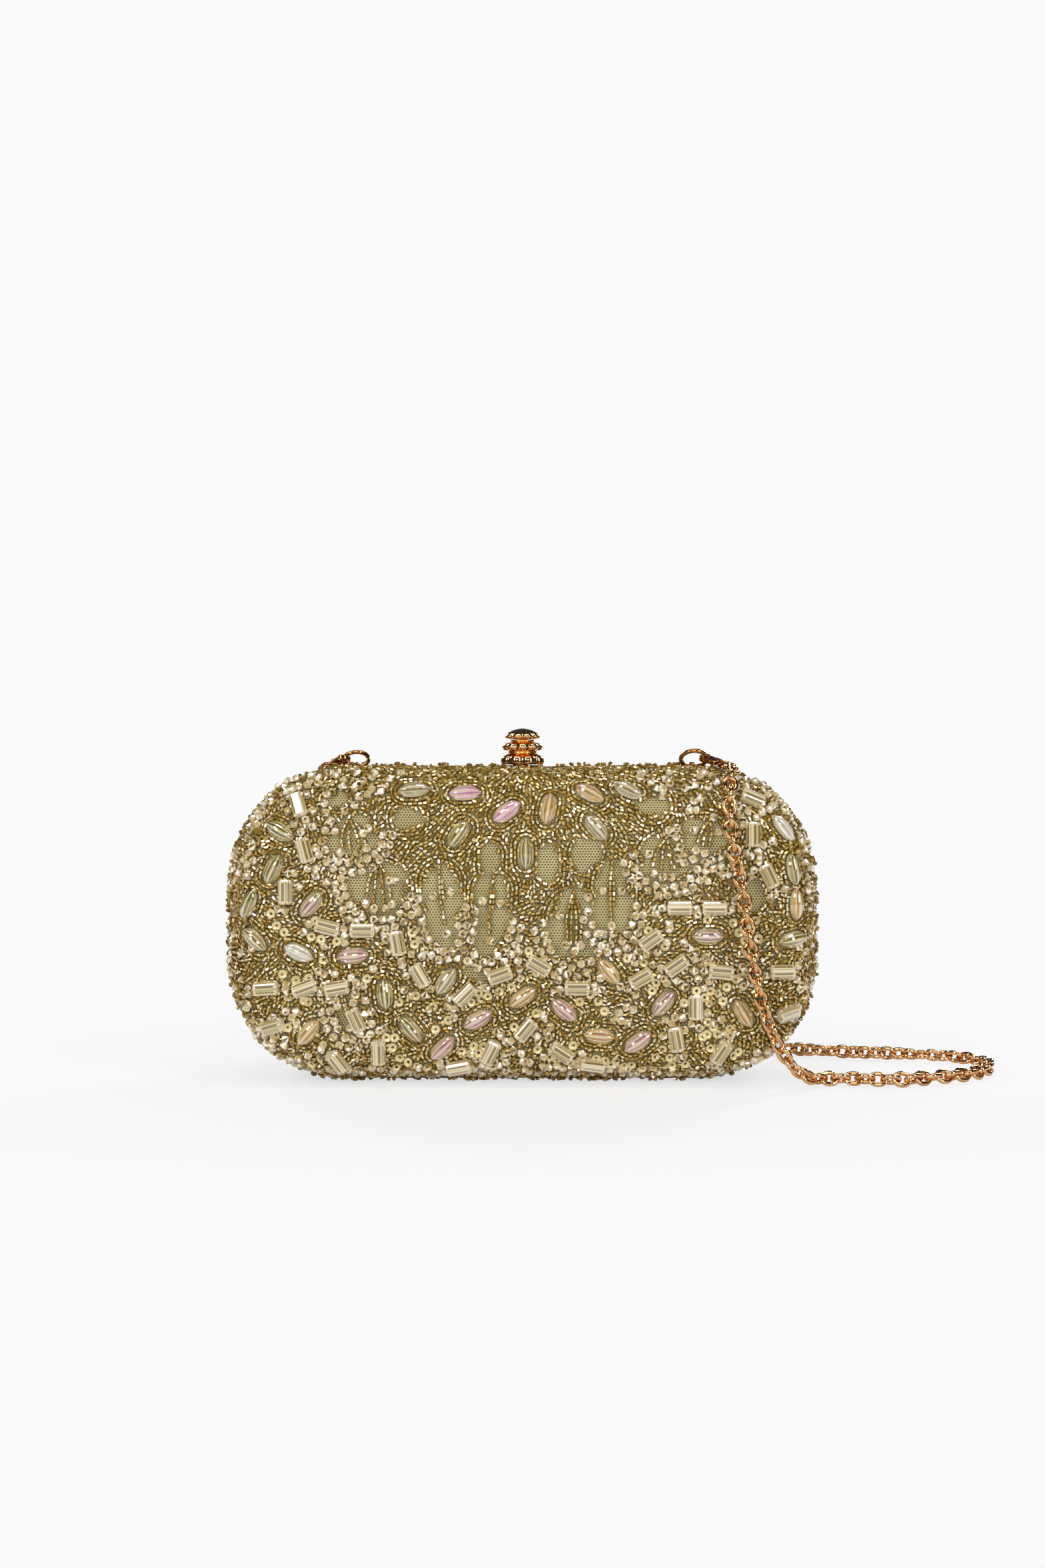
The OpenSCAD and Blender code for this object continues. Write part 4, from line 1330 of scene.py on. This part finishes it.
def half(side):
    """The beads and stones of one half, its net and its lining."""
    back = side == "back"
    body = f"{side}_half"
    sewing, navettes, blocks = embroider(back)
    r = sewing.rng

    def placed(name, shape, frames, mats, tints, slot):
        return place_shapes(f"{side}_{name}", shape, frames, mats, tints, body, slot, back)

    beads = sewing.beads["seed"]
    frames = bead_frames(beads, SEED_D / 2, r.normal(0, 0.16, len(beads)))
    tints = seed_tints(len(frames), r)
    seeds = placed("seed_beads", seed_shape(), frames, SEED_EDGES + SEED_HIGHLIGHTS, tints, "seed_beads")
    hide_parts(f"{side}_beadwork")
    beads = sewing.beads["crystal"]
    turns = r.uniform(0, 2 * math.pi, len(beads))
    frames = bead_frames(beads, CRYSTAL_D / 2, turns)
    kind = r.random(len(frames)) < 0.5
    for chosen, shape, name in ((kind, bicone_shape(), "bicones"), (~kind, round_shape(), "round_crystals")):
        picked = [f for f, k in zip(frames, chosen) if k]
        placed(name, shape, picked, CRYSTALS, crystal_tints(shape, turns[chosen], r), "block_stones")
    beads = sewing.beads["sequin"]
    shape = sequin_shape()
    frames = bead_frames(beads, CRYSTAL_D / 2, np.zeros(len(beads)))
    placed("sequins", shape, frames, [SEQUIN], np.zeros((len(frames), len(shape[1])), int), "seed_beads")
    for stones, shape, mats, name, slot, sink, tints in (
            (navettes, navette_shape(), STONES, "navettes", "oval_stones", 1.0, navette_tints(navettes)),
            (blocks, block_shape(), BLOCKS, "block_beads", "block_stones", 1.1, block_tints(len(blocks), r))):
        frames = [(base - out * sink, np.array([length, width, out])) for base, length, width, out in stones]
        piece = placed(f"{name}_cut", shape, frames, mats, tints, slot)[0]
        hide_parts(f"{side}_{name}")
    cloths(side, body, back)


# Tint of each navette by its nearest place on the face: across, up, and the tint's place in STONE_BODIES
STONE_TINTS = [
    (-18, 92, 5), (-5, 86, 5), (8, 87, 1), (21, 92, 1), (33, 93, 4), (-34, 93, 4), (-20, 79, 2), (1, 73, 2),
    (23, 81, 4), (82, 81, 6), (85, 68, 2), (86, 57, 1), (85, 46, 2), (58, 47, 3), (44, 26, 3), (36, 14, 0),
    (24, 16, 1), (13, 24, 0), (0, 28, 1), (-14, 21, 0), (-25, 12, 0), (-35, 18, 2), (-43, 29, 2),
    (-24, 33, 4), (-53, 41, 0), (-70, 42, 6), (-67, 17, 1), (-66, 57, 3), (-78, 68, 2), (-76, 80, 2),
    (-86, 57, 2), (-84, 46, 2), (27, 36, 1), (69, 23, 1),
]


def stone_tint(base):
    return min(STONE_TINTS, key=lambda s: math.hypot(s[0] - base[0], s[1] - base[2]))[2]


half("front")
half("back")


# ---- Inside ----

def pocket():
    """A satin slip pocket on the back half's lining, gathered along its hem."""
    low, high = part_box("slip_pocket")
    x0, x1, z0, z1 = low.x / MM, high.x / MM, low.z / MM, high.z / MM
    y = high.y / MM
    columns, rows, corner = 121, 41, 8
    us, vs = np.linspace(x0, x1, columns), np.linspace(z0, z1, rows)
    points = []
    for z in vs:
        share = (z - z0) / (z1 - z0)
        inset = corner * max(0, 1 - (z - z0) / corner) ** 2
        for x in us:
            fold = 0.28 * share * math.sin(x / 1.7 + 1.5 * math.sin(x / 9)) + 0.5 * share ** 3
            hem = 0.25 if share > 0.96 else 0
            belly = 0.5 * math.sin(math.pi * min(share * 4, 1) / 2)
            points.append((x * (1 - inset / (x1 - x0) * 2), y - 0.1 - belly - fold * 0.8 - hem, z))
    piece = make("slip_pocket_satin", points, grid_faces(rows, columns), SATIN, "back_half", "satin_lining")
    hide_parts("slip_pocket")


def spring():
    """The knob's return spring, wound from round wire."""
    low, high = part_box("knob_spring")
    wire, turns = 0.25, 4
    r = high.x / MM - wire
    z0, z1 = low.z / MM + wire, high.z / MM - wire
    count, sides = turns * 40, 10
    points = []
    for i in range(count + 1):
        a = 2 * math.pi * i * turns / count
        out = np.array([math.cos(a), math.sin(a), 0])
        for k in range(sides):
            b = 2 * math.pi * k / sides
            rise = np.array([0, 0, z0 + (z1 - z0) * i / count + wire * math.sin(b)])
            points.append(out * (r + wire * math.cos(b)) + rise)
    faces = grid_faces(count + 1, sides, closed=True) + end_caps(count + 1, sides)
    piece = make("knob_spring_wire", points, faces, STEEL, "front_half", "spring_steel")
    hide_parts("knob_spring")
    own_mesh(piece)


pocket()
spring()
cast("latch_catch", "latch_catch_cast", voxel=0.15)
cast("lock_plate", "lock_plate_cast", voxel=0.2)
cast("latch_hook", "latch_hook_cast", 0.15)
cast("knob_collar", "knob_collar_cast", 0.15, 4, DEEP_GOLD)

# ---- Materials of the CAD nodes that stay ----

NODE_MATERIALS = {
    "shell_board": BOARD, "satin_lining": SATIN, "net": NET, "gold_metal": ROSE_GOLD,
    "dark_gold_metal": DEEP_GOLD, "spring_steel": STEEL, "seed_beads": SEED_EDGES[0],
    "oval_stones": STONES[0], "block_stones": BLOCKS[0],
}
for row in frame["record"]["subparts"]:
    piece = frame["nodes"][row["node"]]
    for k in range(len(piece.material_slots)):
        piece.material_slots[k].material = NODE_MATERIALS[row["material_slot"]]
